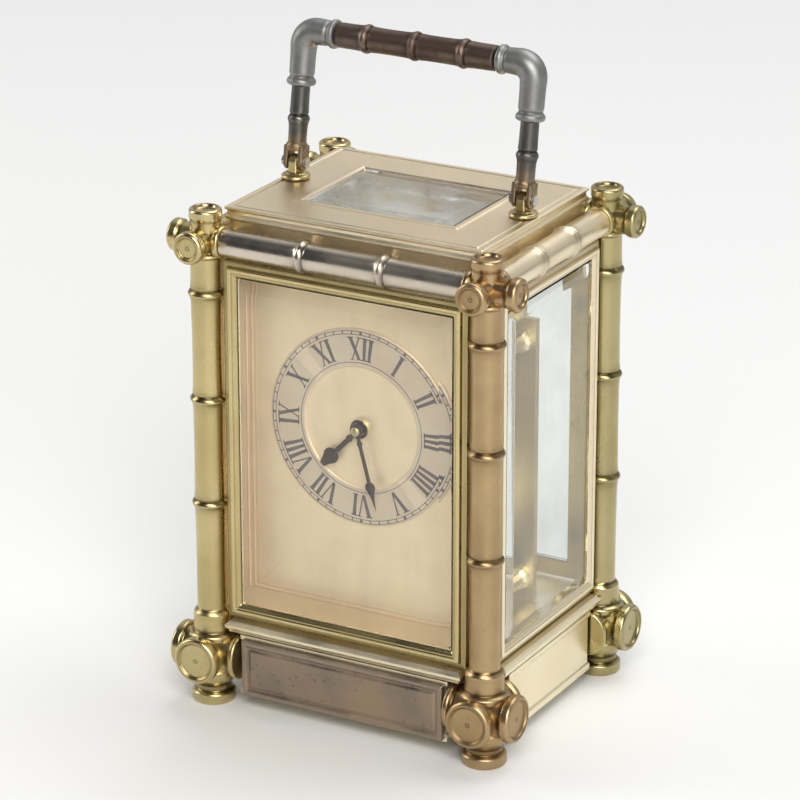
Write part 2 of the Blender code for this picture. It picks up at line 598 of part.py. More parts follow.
def elbow_mesh():
    """Thick corner of the bail, from the top of the left leg round to the grip, about the leg's axis."""
    run = HANDLE_HALF - ELBOW_INNER
    ring = ELBOW_R + 0.4
    up, along = (0, 1), (1, 0)
    stations = [((0, LEG_TOP + GAP), up, ring), ((0, LEG_TOP + 1.4), up, ring), ((0, LEG_TOP + 2.2), up, ELBOW_R - 0.3),
                ((0, HANDLE_RISE - ELBOW_BEND), up, ELBOW_R)]
    for k in (1, 2, 3):
        a = math.radians(90) * k / 4
        centre = (ELBOW_BEND * (1 - math.cos(a)), HANDLE_RISE - ELBOW_BEND + ELBOW_BEND * math.sin(a))
        stations.append((centre, (math.sin(a), math.cos(a)), ELBOW_R))
    stations += [((ELBOW_BEND, HANDLE_RISE), along, ELBOW_R), ((run - 2.2, HANDLE_RISE), along, ELBOW_R - 0.3),
                 ((run - 1.4, HANDLE_RISE), along, ring), ((run, HANDLE_RISE), along, ring)]
    return finish(swept(stations, PILLAR_SIDES))


def build_handle(brass, nickel, brown, steel):
    """Bail on two posts. It swings about the line through both pins."""
    bail = pivot("handle_pivot", (0, 0, PIVOT_Z), turn=(math.radians(-HANDLE_LEAN_DEG), 0, 0))
    post, leg, elbow = post_mesh(), leg_mesh(), elbow_mesh()
    end = LUG_T / 2 + RUNNING + CHEEK_T
    pin = finish(moved(turned([(0, -end - 0.8), (1.5, -end - 0.8), (1.5, -end - 0.15), (PIN_R, -end - 0.15),
                               (PIN_R, end + 0.15), (1.5, end + 0.15), (1.5, end + 0.8), (0, end + 0.8)], 8),
                       turn=(0, math.radians(90), 0)))
    for name, sx, turn in (("left", -1, 0), ("right", 1, math.radians(180))):
        x = sx * HANDLE_HALF
        place(f"handle_post_{name}", post, brass, at=(x, 0, PIVOT_Z))
        place(f"handle_leg_{name}", leg, nickel, at=(x, 0, 0), parent=bail)
        place(f"handle_pin_{name}", pin, steel, at=(x, 0, 0), parent=bail)
        place(f"handle_elbow_{name}", elbow, nickel, at=(x, 0, 0), turn=(0, 0, turn), parent=bail)
    half = ELBOW_INNER - GAP
    profile = [(0, -half), (GRIP_R, -half)]
    for middle in (-half * 2 / 3, 0, half * 2 / 3):
        profile += [(GRIP_R, middle - 1.4), (GRIP_NODE_R, middle), (GRIP_R, middle + 1.4)]
    profile += [(GRIP_R, half), (0, half)]
    place("handle_grip", finish(moved(turned(profile, PILLAR_SIDES), turn=(0, math.radians(90), 0))), brown,
          at=(0, 0, HANDLE_RISE), parent=bail)


# ---- dial and hands ------------------------------------------------------------------------
def build_dial(gilt, silver):
    """Plate that fills the case behind the front glass, on four feet, with the chapter ring on it."""
    half_x = HALF_X - FRAME_T / 2 - 0.6
    low, high = WALL_LOW + 0.2, FRAME_TOP - 0.2
    plate = extruded([rectangle(half_x, (high - low) / 2, centre=(0, (high + low) / 2 - CENTRE_Z)), circle(3.0, 16)],
                     -MASK_BACK, -MASK_FRONT)
    feet = [moved(turned([(0, -FRONT_SIDE), (1.2, -FRONT_SIDE), (1.2, 0.3 - MASK_BACK), (0, 0.3 - MASK_BACK)], 10),
                  at=(x, z, 0)) for x in (-20, 20) for z in (-40, 18)]
    place("dial_mask", finish(combined(plate, add=feet)), gilt, at=(0, 0, CENTRE_Z), turn=DIAL_VIEW)
    face = -MASK_FRONT + GAP / 2
    ring = extruded([circle(RING_R_OUT, 36), circle(RING_R_IN, 24)], face, face + RING_T)
    place("chapter_ring", finish(ring), silver, at=(0, 0, CENTRE_Z), turn=DIAL_VIEW)


FRONT_SIDE = FRONT_PLATE_Y - GAP


def hand_outline(length, eye_r, stem, leaf_at, leaf_r):
    """Spade hand pointing up: an eye, a stem, a round leaf and a fine tip."""
    right = [(eye_r * math.sin(a), -eye_r * math.cos(a)) for a in (0, 0.6, 1.2, 1.8, 2.4)]
    right += [(stem, eye_r + 0.6), (stem * 0.8, leaf_at - leaf_r - 1.0)]
    right += [(max(stem * 0.8, leaf_r * math.sin(a)), leaf_at - leaf_r * math.cos(a)) for a in (0.8, 1.57, 2.3)]
    right += [(stem * 0.7, leaf_at + leaf_r + 0.7), (stem * 0.4, length - 1.0), (0, length)]
    return right + [(-x, y) for x, y in reversed(right[1:-1])]


def build_hands(brass, blued):
    """Hour hand on its wheel's pipe, and minute hand on the cannon pinion inside it."""
    hour_angle = -math.tau * (TIME_HOUR + TIME_MINUTES / 60) / 12
    minute_angle = -math.tau * TIME_MINUTES / 60
    hands = (("hour_hand", HOUR_LENGTH, 2.6, 0.62, 12.2, 1.9, HOUR_HAND_Y, 1.95, hour_angle),
             ("minute_hand", MINUTE_LENGTH, 1.9, 0.5, 15.5, 1.5, MINUTE_HAND_Y, 0.85, minute_angle))
    for name, length, eye_r, stem, leaf_at, leaf_r, front, hole, angle in hands:
        mesh = extruded([hand_outline(length, eye_r, stem, leaf_at, leaf_r), circle(hole, 12)],
                        -front - HAND_T, -front)
        place(name, finish(moved(mesh, turn=(0, 0, angle))), blued, at=(0, 0, CENTRE_Z), turn=DIAL_VIEW)

    pipe_in, pipe_out = 1.35, 1.85
    hour = extruded([gear(HOUR_WHEEL, HOUR_MODULE, HOUR_PHASE), circle(pipe_in, 12),
                     *crossings(2.6, 5.6, 4, 1.2)], -HOUR_LAYER[1], -HOUR_LAYER[0])
    pipe = turned([(pipe_in, -HOUR_LAYER[1]), (pipe_out, -HOUR_LAYER[1]), (pipe_out, -HOUR_HAND_Y),
                   (pipe_in, -HOUR_HAND_Y)], 12)
    place("hour_wheel", finish(combined(hour, add=[pipe])), brass, at=(0, 0, CENTRE_Z), turn=DIAL_VIEW)

    pinion = extruded([gear(CANNON, MINUTE_MODULE, CANNON_PHASE)], -MINUTE_LAYER[1], -MINUTE_LAYER[0])
    boss_r, post_r = 1.05, 0.7
    pipe = turned([(0, -MINUTE_LAYER[1]), (boss_r, -MINUTE_LAYER[1]), (boss_r, -MINUTE_HAND_Y - HAND_T - 0.15),
                   (post_r, -MINUTE_HAND_Y - HAND_T - 0.15), (post_r, 0.2 - MINUTE_HAND_Y),
                   (1.2, 0.2 - MINUTE_HAND_Y), (1.2, 0.8 - MINUTE_HAND_Y), (0, 1.1 - MINUTE_HAND_Y)], 12)
    bore = turned([(0, 0), (0.85, 0), (0.85, 21.8), (0, 21.8)], 12)
    place("cannon_pinion", finish(combined(pinion, add=[pipe], cut=[bore])), brass,
          at=(0, 0, CENTRE_Z), turn=DIAL_VIEW)


# ---- movement ------------------------------------------------------------------------------
def depth_profile(points):
    """(radius, Y) pairs turned into the local heights of a piece that faces the dial's viewer."""
    return [(radius, -y) for radius, y in points]


def spindle(front, back, body_front=None, body_back=None):
    """Arbor between the plates, with thin pivots at both ends."""
    body_front = front + 1.6 if body_front is None else body_front
    body_back = back - 1.6 if body_back is None else body_back
    return turned(depth_profile([(0, front), (PIVOT_R, front), (PIVOT_R, body_front), (ARBOR_R, body_front),
                                 (ARBOR_R, body_back), (PIVOT_R, body_back), (PIVOT_R, back), (0, back)]), 10)


def wheel_at(y, outlines, thick=WHEEL_T):
    return extruded(outlines, -y - thick / 2, -y + thick / 2)


def build_plates(brass):
    """Front and back plates with a hole for every pivot, and the four posts between them."""
    low = WALL_LOW
    points = {"barrel": (BARREL_AT, WINDING_R + RUNNING), "intermediate": (INTERMEDIATE_AT, PIVOT_R + RUNNING),
              "centre": (CENTRE_AT, ARBOR_R + RUNNING), "third": (THIRD_AT, PIVOT_R + RUNNING),
              "contrate": (CONTRATE_AT, PIVOT_R + RUNNING), "setting": (SETTING_AT, ARBOR_R + RUNNING)}
    for name, front in (("movement_front_plate", FRONT_PLATE_Y), ("movement_back_plate", BACK_PLATE_Y)):
        holes = [circle(radius, 10, (x, z)) for (x, z), radius in points.values()]
        holes += [circle(PIVOT_R + RUNNING, 10, MINUTE_AT)] if front == FRONT_PLATE_Y else []
        outline = rectangle(PLATE_HALF_X, (PLATE_HIGH - low) / 2, (0, (PLATE_HIGH + low) / 2))
        mesh = extruded([outline, *holes], -front - PLATE_T, -front)
        place(name, finish(mesh), brass, turn=DIAL_VIEW)
    length = BACK_PLATE_Y - FRONT_PLATE_Y - PLATE_T - 2 * GAP
    profile = [(0, 0), (POST_R + 0.8, 0), (POST_R + 0.8, 1.2), (POST_R, 2.0), (POST_R, length - 2.0),
               (POST_R + 0.8, length - 1.2), (POST_R + 0.8, length), (0, length)]
    post = finish(turned(profile, 10))
    corners = (("lower_left", -POST_X, POST_LOW_Z), ("lower_right", POST_X, POST_LOW_Z),
               ("upper_left", -POST_X, POST_HIGH_Z), ("upper_right", POST_X, POST_HIGH_Z))
    for name, x, z in corners:
        place(f"movement_post_{name}", post, brass, at=(x, BACK_PLATE_Y - GAP, z), turn=DIAL_VIEW)


def build_barrel(brass, steel):
    """Going barrel with the great wheel on its back, its spring, and the arbor that winds it."""
    bore = WINDING_R + RUNNING
    back = GREAT_Y - WHEEL_T / 2
    at, turn = (BARREL_AT[0], 0, BARREL_AT[1]), DIAL_VIEW
    wall_r, floor = DRUM_R - DRUM_WALL, DRUM_FRONT + DRUM_WALL
    drum = turned(depth_profile([(bore, DRUM_FRONT), (DRUM_R, DRUM_FRONT), (DRUM_R, back + 0.3),
                                 (wall_r, back + 0.3), (wall_r, floor), (bore, floor)]), 24)
    # a wheel with crossings leaves the drum open at the back, as a barrel with no cap is
    great = wheel_at(GREAT_Y, [gear(GREAT, GREAT_MODULE, GREAT_PHASE), circle(bore, 12),
                               *crossings(5.5, 15.2, 5, 3.0)])
    place("mainspring_barrel", finish(combined(great, add=[drum])), brass, at=at, turn=turn)
    turns, steps = 3.5, 42
    inner, outer, thick = WINDING_R + RUNNING + 0.8, DRUM_R - DRUM_WALL - 0.5, 0.5
    spiral = [(inner + (outer - thick - inner) * k / steps, math.tau * turns * k / steps) for k in range(steps + 1)]
    outline = [(r * math.cos(a), r * math.sin(a)) for r, a in spiral]
    outline += [((r + thick) * math.cos(a), (r + thick) * math.sin(a)) for r, a in reversed(spiral)]
    place("mainspring", finish(extruded([outline], -(back - 1.0), -(DRUM_FRONT + DRUM_WALL + 0.6))), steel,
          at=at, turn=turn)

    end = BACK_PLATE_Y + PLATE_T
    arbor = turned(depth_profile([(0, FRONT_PLATE_Y + 0.2), (WINDING_R, FRONT_PLATE_Y + 0.2),
                                  (WINDING_R, end + 2.4), (0, end + 2.4)]), 14)
    square = extruded([rectangle(WINDING_SQUARE / 2, WINDING_SQUARE / 2)], -WINDING_END, -(end + 1.0))
    ratchet = extruded([ratchet_outline()], -(end + GAP + 1.3), -(end + GAP))
    place("winding_arbor", finish(combined(ratchet, add=[arbor, square])), steel, at=at, turn=turn)
    place("click", finish(click_mesh(end + GAP)), steel, at=(CLICK_AT[0], 0, CLICK_AT[1]), turn=turn)


def ratchet_outline():
    """Saw teeth whose steep sides stop the wheel against the click."""
    step = math.tau / RATCHET_TEETH
    outline = []
    for k in range(RATCHET_TEETH):
        for radius, share in ((RATCHET_R, 0.0), (RATCHET_R - 0.9, 0.12)):
            angle = (k + share) * step
            outline.append((radius * math.cos(angle), radius * math.sin(angle)))
    return outline


CLICK_AT = (10.5, BARREL_Z + 5.5)
CLICK_NOSE_AT = reach(BARREL_AT, RATCHET_R + 0.35, math.radians(75))


def click_mesh(front):
    """Pawl whose nose stands just clear of the ratchet's tips, with a thumb tail."""
    towards = bearing(CLICK_AT, CLICK_NOSE_AT)
    nose = math.dist(CLICK_AT, CLICK_NOSE_AT)
    outline = [(nose, 0), (1.6, 1.5), (-1.4, 1.5), (-4.6, 0.7), (-4.6, -0.5), (-1.4, -1.6), (1.4, -1.6)]
    body = moved(extruded([outline], -(front + 1.3), -front), turn=(0, 0, towards))
    stud = turned(depth_profile([(0, front), (1.1, front), (1.1, front + 2.1), (0, front + 2.1)]), 12)
    return combined(body, add=[stud])


def build_train(brass, steel):
    """Wheels from the barrel to the contrate wheel, each in one piece with its pinion and arbor."""
    front, back = FRONT_PLATE_Y + 0.3, BACK_PLATE_Y + PLATE_T - 0.3
    trains = (
        ("intermediate_wheel", INTERMEDIATE_AT, INTERMEDIATE, INTERMEDIATE_MODULE, INTERMEDIATE_PHASE, INTERMEDIATE_Y,
         INTERMEDIATE_PINION, GREAT_MODULE, INTERMEDIATE_PHASE, GREAT_Y),
        ("centre_wheel", CENTRE_AT, CENTRE, CENTRE_MODULE, CENTRE_PHASE, CENTRE_Y,
         CENTRE_PINION, INTERMEDIATE_MODULE, CENTRE_PHASE, INTERMEDIATE_Y),
        ("third_wheel", THIRD_AT, THIRD, THIRD_MODULE, THIRD_PHASE, THIRD_Y,
         THIRD_PINION, CENTRE_MODULE, THIRD_PHASE, CENTRE_Y),
    )
    for name, at, teeth, module, phase, y, leaves, pinion_module, pinion_phase, pinion_y in trains:
        rim = teeth * module / 2 - 2.9
        wheel = wheel_at(y, [gear(teeth, module, phase), *crossings(3.2, rim, 4, 1.5, phase)])
        pinion = wheel_at(pinion_y, [gear(leaves, pinion_module, pinion_phase)], PINION_T)
        axle = spindle(front, back)
        if name == "centre_wheel":
            axle = turned(depth_profile([(0, -21.2), (0.55, -21.2), (0.55, FRONT_PLATE_Y - 0.1), (ARBOR_R, FRONT_PLATE_Y - 0.1),
                                         (ARBOR_R, back), (0, back)]), 10)
        place(name, finish(combined(wheel, add=[pinion, axle])), brass, at=(at[0], 0, at[1]), turn=DIAL_VIEW)

    disc = wheel_at(CONTRATE_Y, [circle(CONTRATE_R + 0.7, 30), *crossings(2.6, CONTRATE_R - 1.9, 3, 1.4)])
    crown = contrate_teeth()
    pinion = wheel_at(THIRD_Y, [gear(CONTRATE_PINION, THIRD_MODULE, CONTRATE_PHASE)], PINION_T)
    place("contrate_wheel", finish(combined(disc, add=[crown, pinion, spindle(front, back)])), brass,
          at=(CONTRATE_AT[0], 0, CONTRATE_AT[1]), turn=DIAL_VIEW)


def contrate_teeth():
    """Ring of teeth that point back at +Y, sunk a little into the wheel: one crown-shaped solid."""
    mesh = bmesh.new()
    base = CONTRATE_Y + WHEEL_T / 2 - 0.4
    root, tip = CONTRATE_Y + WHEEL_T / 2 + 0.1, CONTRATE_Y + WHEEL_T / 2 + CONTRATE_TOOTH
    step = math.tau / CONTRATE
    rings = []
    for radius in (CONTRATE_R - 0.55, CONTRATE_R + 0.55):
        low, high = [], []
        for k in range(CONTRATE):
            middle = CONTRATE_PHASE + k * step
            for y, share in ((root, -0.25), (tip, 0.0), (root, 0.25)):
                a = middle + share * step
                low.append(mesh.verts.new((radius * math.cos(a), radius * math.sin(a), -base)))
                high.append(mesh.verts.new((radius * math.cos(a), radius * math.sin(a), -y)))
        rings.append((low, high))
    (low_in, high_in), (low_out, high_out) = rings
    for k in range(3 * CONTRATE):
        mesh.faces.new((low_in[k - 1], low_in[k], high_in[k], high_in[k - 1]))
        mesh.faces.new((low_out[k], low_out[k - 1], high_out[k - 1], high_out[k]))
        mesh.faces.new((high_in[k - 1], high_in[k], high_out[k], high_out[k - 1]))
        mesh.faces.new((low_in[k], low_in[k - 1], low_out[k - 1], low_out[k]))
    bmesh.ops.recalc_face_normals(mesh, faces=mesh.faces)
    return mesh


def build_motion_work(brass, steel):
    """Minute wheel on its stud, and the arbor that sets the hands from the back."""
    wheel = extruded([gear(MINUTE_WHEEL, MINUTE_MODULE, MINUTE_PHASE), *crossings(2.4, 5.0, 4, 1.1)],
                     -MINUTE_LAYER[1], -MINUTE_LAYER[0])
    pinion = extruded([gear(MINUTE_PINION, HOUR_MODULE, MINUTE_PHASE)], -(MINUTE_LAYER[0] + 0.2), -HOUR_LAYER[0])
    axle = turned(depth_profile([(0, -20.9), (PIVOT_R, -20.9), (PIVOT_R, -16.4), (0, -16.4)]), 10)
    place("minute_wheel", finish(combined(wheel, add=[pinion, axle])), brass,
          at=(MINUTE_AT[0], 0, MINUTE_AT[1]), turn=DIAL_VIEW)
    end = BACK_PLATE_Y + PLATE_T
    pinion = extruded([gear(SETTING_PINION, MINUTE_MODULE, SETTING_PHASE)], -MINUTE_LAYER[1], -MINUTE_LAYER[0])
    axle = turned(depth_profile([(0, -19.6), (ARBOR_R, -19.6), (ARBOR_R, end + 1.4), (0, end + 1.4)]), 10)
    collar = turned(depth_profile([(0, end + GAP), (1.9, end + GAP), (1.9, end + 1.2), (0, end + 1.2)]), 12)
    square = extruded([rectangle(SETTING_SQUARE / 2, SETTING_SQUARE / 2)], -WINDING_END, -(end + 1.0))
    place("setting_arbor", finish(combined(pinion, add=[axle, collar, square])), steel,
          at=(SETTING_AT[0], 0, SETTING_AT[1]), turn=DIAL_VIEW)


# ---- platform escapement -------------------------------------------------------------------
def escape_outline():
    """Pointed teeth that lean the way the wheel turns."""
    step = math.tau / ESCAPE_TEETH
    outline = []
    for k in range(ESCAPE_TEETH):
        for radius, share in ((ESCAPE_R, 0.0), (ESCAPE_R - 1.0, 0.18), (ESCAPE_R - 1.05, 0.8)):
            a = (k + share) * step
            outline.append((radius * math.cos(a), radius * math.sin(a)))
    return outline


def build_escapement(brass, steel, blued, gilt):
    """Platform over the train with the escape wheel, lever, balance, hairspring and cock on it."""
    middle_y = (FRONT_PLATE_Y + BACK_PLATE_Y + PLATE_T) / 2
    half_y = (BACK_PLATE_Y + PLATE_T - FRONT_PLATE_Y) / 2
    holes = [circle(1.9, 12, (0, ESCAPE_Y - middle_y)), circle(PIVOT_R + RUNNING, 10, (0, PALLET_Y - middle_y)),
             circle(PIVOT_R + RUNNING, 10, (0, BALANCE_Y - middle_y))]
    plate = extruded([rectangle(PLATFORM_HALF_X, half_y), *holes], 0, PLATFORM_T)
    place("platform", finish(plate), gilt, at=(0, middle_y, PLATFORM_LOW))

    first_tooth = -CONTRATE_R * (CONTRATE_PHASE - math.pi / 2)
    pitch = math.tau * CONTRATE_R / CONTRATE
    phase = -math.pi / 2 + (first_tooth + pitch / 2) / ESCAPE_R_PITCH
    rim_top = CONTRATE_AT[1] + CONTRATE_R
    pinion = extruded([gear(ESCAPE_PINION, pitch / math.pi, phase)], rim_top - 0.75, rim_top + 0.75)
    wheel = extruded([escape_outline(), *crossings(1.1, 2.1, 3, 0.5)], ESCAPEMENT_Z, ESCAPEMENT_Z + 0.6)
    axle = turned([(0, rim_top - 1.3), (0.35, rim_top - 1.3), (0.6, rim_top - 0.6), (0.6, ESCAPEMENT_Z + 0.9),
                   (0.3, ESCAPEMENT_Z + 0.9), (0.3, ESCAPEMENT_Z + 2.0), (0, ESCAPEMENT_Z + 2.0)], 10)
    place("escape_wheel", finish(combined(wheel, add=[pinion, axle])), brass, at=(0, ESCAPE_Y, 0))

    # seen from above with the escape wheel at +Y of the pallets and the balance at -Y
    stone = (ESCAPE_R + 0.5, math.radians(42))
    sx, sy = stone[0] * math.sin(stone[1]), 5.4 - stone[0] * math.cos(stone[1])
    fork_y = BALANCE_Y - PALLET_Y + 1.4 + 0.5
    right = [(0.35, fork_y + 1.0), (1.0, fork_y + 0.3), (0.75, fork_y), (1.25, fork_y + 0.1), (1.35, fork_y + 0.8),
             (0.45, fork_y + 2.0), (0.4, -1.3), (1.1, -0.6), (sx + 0.1, sy - 1.0), (sx + 0.7, sy - 0.4),
             (sx, sy), (sx - 0.55, sy - 0.5), (0.9, 1.0)]
    outline = right + [(-x, y) for x, y in reversed(right)]
    lever = extruded([outline], ESCAPEMENT_Z, ESCAPEMENT_Z + 0.7)
    axle = turned([(0, PLATFORM_LOW + 0.4), (0.4, PLATFORM_LOW + 0.4), (0.4, ESCAPEMENT_Z + 2.0),
                   (0, ESCAPEMENT_Z + 2.0)], 10)
    place("pallet_lever", finish(combined(lever, add=[axle])), steel, at=(0, PALLET_Y, 0))

    rim = extruded([circle(BALANCE_R, 24), *crossings(1.6, BALANCE_R - 0.9, 2, 1.2)], BALANCE_Z, BALANCE_Z + 1.0)
    staff = turned([(0, PLATFORM_LOW + 0.4), (0.4, PLATFORM_LOW + 0.4), (0.4, ESCAPEMENT_Z - 0.4),
                    (1.4, ESCAPEMENT_Z - 0.4), (1.4, ESCAPEMENT_Z + 0.5), (0.8, ESCAPEMENT_Z + 0.5),
                    (0.8, BALANCE_Z + 2.2), (0.35, BALANCE_Z + 2.2), (0.35, COCK_Z + 0.6), (0, COCK_Z + 0.6)], 8)
    place("balance_wheel", finish(combined(rim, add=[staff])), gilt, at=(0, BALANCE_Y, 0))

    turns, steps, thick = 2.5, 35, 0.22
    inner, outer = 1.3, 4.6
    spiral = [(inner + (outer - inner) * k / steps, math.tau * turns * k / steps) for k in range(steps + 1)]
    outline = [(r * math.cos(a), r * math.sin(a)) for r, a in spiral]
    outline += [((r + thick) * math.cos(a), (r + thick) * math.sin(a)) for r, a in reversed(spiral)]
    place("hairspring", finish(extruded([outline], BALANCE_Z + 1.6, BALANCE_Z + 2.0)), blued, at=(0, BALANCE_Y, 0))

    foot_x, foot_y = 10.6, -6.2
    foot_low, foot_high = PLATFORM_LOW + PLATFORM_T + GAP, COCK_Z + 0.6
    arm = [(foot_x - 2.4, 2.6), (3.0, 1.9), (1.4, 1.8), (-0.4, 1.9), (-1.6, 1.0), (-1.9, 0), (-1.6, -1.0),
           (-0.4, -1.9), (1.4, -1.8), (3.0, -1.9), (foot_x - 2.4, -2.6), (foot_x + 2.6, -2.6), (foot_x + 2.6, 2.6)]
    top = extruded([arm, circle(0.35 + RUNNING, 10)], COCK_Z, COCK_Z + 1.2)
    leg = block((foot_x - 2.0, -2.4, foot_low), (foot_x + 2.4, 2.4, foot_high))
    place("balance_cock", finish(combined(top, add=[leg])), gilt, at=(0, foot_y, 0))


def main():
    for old in list(bpy.data.objects):
        bpy.data.objects.remove(old)
    brass = finish_of("lacquered_brass", (0.72, 0.55, 0.27), 0.28, 1.0)
    bronze = finish_of("dark_bronze", (0.16, 0.13, 0.11), 0.4, 1.0)
    nickel = finish_of("worn_nickel", (0.42, 0.42, 0.41), 0.35, 1.0)
    brown = finish_of("brown_cane", (0.23, 0.15, 0.11), 0.4, 0.3)
    gilt = finish_of("frosted_gilt", (0.80, 0.66, 0.45), 0.5, 0.9)
    silver = finish_of("silvered_dial", (0.78, 0.70, 0.58), 0.5, 0.6)
    steel = finish_of("bright_steel", (0.55, 0.55, 0.56), 0.3, 1.0)
    blued = finish_of("blued_steel", (0.08, 0.06, 0.07), 0.35, 1.0)
    glass = finish_of("bevelled_glass", (0.88, 0.93, 0.92), 0.05, 0.0, 0.3)
    build_pillars(brass)
    build_base(brass, bronze)
    build_frieze(brass)
    build_top(brass, glass)
    build_front(brass, glass)
    build_sides(brass, glass)
    build_door(brass, steel, glass)
    build_handle(brass, nickel, brown, steel)
    build_dial(gilt, silver)
    build_hands(brass, blued)
    build_plates(brass)
    build_barrel(brass, steel)
    build_train(brass, steel)
    build_motion_work(brass, steel)
    build_escapement(brass, steel, blued, gilt)


main()
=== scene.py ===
"""Fine surfaces and finishes of a bamboo-case carriage clock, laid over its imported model."""
import json
import logging
import math
from dataclasses import dataclass, field, replace
from enum import Enum

import bmesh
import bpy
import numpy as np
from mathutils import Matrix, Vector


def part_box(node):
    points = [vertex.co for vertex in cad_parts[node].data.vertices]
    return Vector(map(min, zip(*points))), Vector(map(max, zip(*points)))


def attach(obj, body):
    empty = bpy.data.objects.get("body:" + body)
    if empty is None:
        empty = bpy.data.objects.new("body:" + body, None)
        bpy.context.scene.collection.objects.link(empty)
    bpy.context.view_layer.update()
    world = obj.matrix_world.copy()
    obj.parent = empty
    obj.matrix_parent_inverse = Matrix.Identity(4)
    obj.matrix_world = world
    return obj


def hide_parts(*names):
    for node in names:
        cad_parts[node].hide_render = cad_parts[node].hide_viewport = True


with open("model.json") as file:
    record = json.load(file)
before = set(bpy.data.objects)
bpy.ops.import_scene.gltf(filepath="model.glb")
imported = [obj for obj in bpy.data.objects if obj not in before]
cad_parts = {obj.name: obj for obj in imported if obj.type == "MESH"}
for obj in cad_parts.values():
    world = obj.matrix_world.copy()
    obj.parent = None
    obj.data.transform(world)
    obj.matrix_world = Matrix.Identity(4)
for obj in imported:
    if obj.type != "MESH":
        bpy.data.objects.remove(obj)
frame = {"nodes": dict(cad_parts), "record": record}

LOG = logging.getLogger("carriage_clock")
MM = 0.001
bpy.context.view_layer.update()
RECORD = frame["record"]


# ---- reading the frame ---------------------------------------------------------------------
def box_mm(node: str) -> tuple[np.ndarray, np.ndarray]:
    """Corners of a CAD node.

    Args:
        node: the node's name.

    Returns:
        The lowest and highest corners in millimetres.
    """
    low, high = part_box(node)
    return np.array(low) / MM, np.array(high) / MM


def middle_mm(node: str) -> np.ndarray:
    """Centre of a CAD node's box, in millimetres."""
    low, high = box_mm(node)
    return (low + high) / 2


def joint_at(name: str) -> np.ndarray:
    """A point on a joint's axis, in millimetres."""
    joints = RECORD["behaviour"]["joints"]
    return np.array(next(joint["pos_m"] for joint in joints if joint["name"] == name)) / MM


def foot_at(corner: str) -> np.ndarray:
    """Centre of a pillar's foot, in millimetres, such as "front_left"."""
    mounts = RECORD["mounts"]
    return np.array(next(mount["pos_m"] for mount in mounts if mount["name"] == f"rest_{corner}")) / MM


# ---- surfaces ------------------------------------------------------------------------------
@dataclass
class Surface:
    """Points in millimetres, the four-sided and three-sided faces between them, and how much tarnish and
    painted shade each point has.
    """

    points: np.ndarray
    quads: np.ndarray = field(default_factory=lambda: np.zeros((0, 4), int))
    triangles: np.ndarray = field(default_factory=lambda: np.zeros((0, 3), int))
    tarnish: np.ndarray | None = None

    def darkness(self) -> np.ndarray:
        """Tarnish and painted shade at each point from 0 to 1, and 0 where none was given."""
        return np.zeros(len(self.points)) if self.tarnish is None else self.tarnish

    def turned(self, axis: str, angle: float) -> "Surface":
        """The surface turned about an axis through the origin.

        Args:
            axis: "X", "Y" or "Z".
            angle: the turn in radians.

        Returns:
            A new surface.
        """
        matrix = np.array(Matrix.Rotation(angle, 3, axis))
        return replace(self, points=self.points @ matrix.T)

    def moved(self, offset: tuple | np.ndarray) -> "Surface":
        """The surface shifted by an offset in millimetres."""
        return replace(self, points=self.points + np.asarray(offset, float))

    def mirrored(self, sx: float = 1, sy: float = 1) -> "Surface":
        """The surface with its X or Y turned round. The faces' sides are put right when it becomes a mesh."""
        return replace(self, points=self.points * np.array([sx, sy, 1.0]))


def joined(surfaces: list[Surface]) -> Surface:
    """Several surfaces as one.

    Args:
        surfaces: the surfaces, which stay separate shells.

    Returns:
        One surface that holds them all.
    """
    starts = np.cumsum([0] + [len(surface.points) for surface in surfaces[:-1]])
    return Surface(
        np.concatenate([surface.points for surface in surfaces]),
        np.concatenate([surface.quads + start for surface, start in zip(surfaces, starts)]),
        np.concatenate([surface.triangles + start for surface, start in zip(surfaces, starts)]),
        np.concatenate([surface.darkness() for surface in surfaces]),
    )


def skinned(rings: np.ndarray, closed: bool = False, tarnish: np.ndarray | None = None) -> Surface:
    """Skin over a row of closed rings: point (i, j) joins (i + 1, j) and (i, j + 1), and j wraps round.

    Args:
        rings: an array of (rings, points, 3).
        closed: whether the last ring joins the first. If not, both ends are closed by fans to their centres.
        tarnish: tarnish and painted shade for each ring, from 0 to 1.

    Returns:
        The closed surface.
    """
    count, around, _ = rings.shape
    rows = np.arange(count if closed else count - 1)
    i, j = np.meshgrid(rows, np.arange(around), indexing="ij")
    after, beside = (i + 1) % count, (j + 1) % around
    quads = np.stack([i * around + j, i * around + beside, after * around + beside, after * around + j], -1)
    points = rings.reshape(-1, 3)
    dark = np.repeat(np.zeros(count) if tarnish is None else tarnish, around)
    if closed:
        return Surface(points, quads.reshape(-1, 4), tarnish=dark)
    k = np.arange(around)
    first = np.stack([np.full(around, count * around), (k + 1) % around, k], -1)
    last = np.stack([np.full(around, count * around + 1), k, (k + 1) % around], -1)
    last += np.array([0, 1, 1]) * (count - 1) * around
    points = np.concatenate([points, rings[[0, -1]].mean(1)])
    fans = np.concatenate([first, last])
    return Surface(points, quads.reshape(-1, 4), fans, np.concatenate([dark, dark[[0, -1]]]))


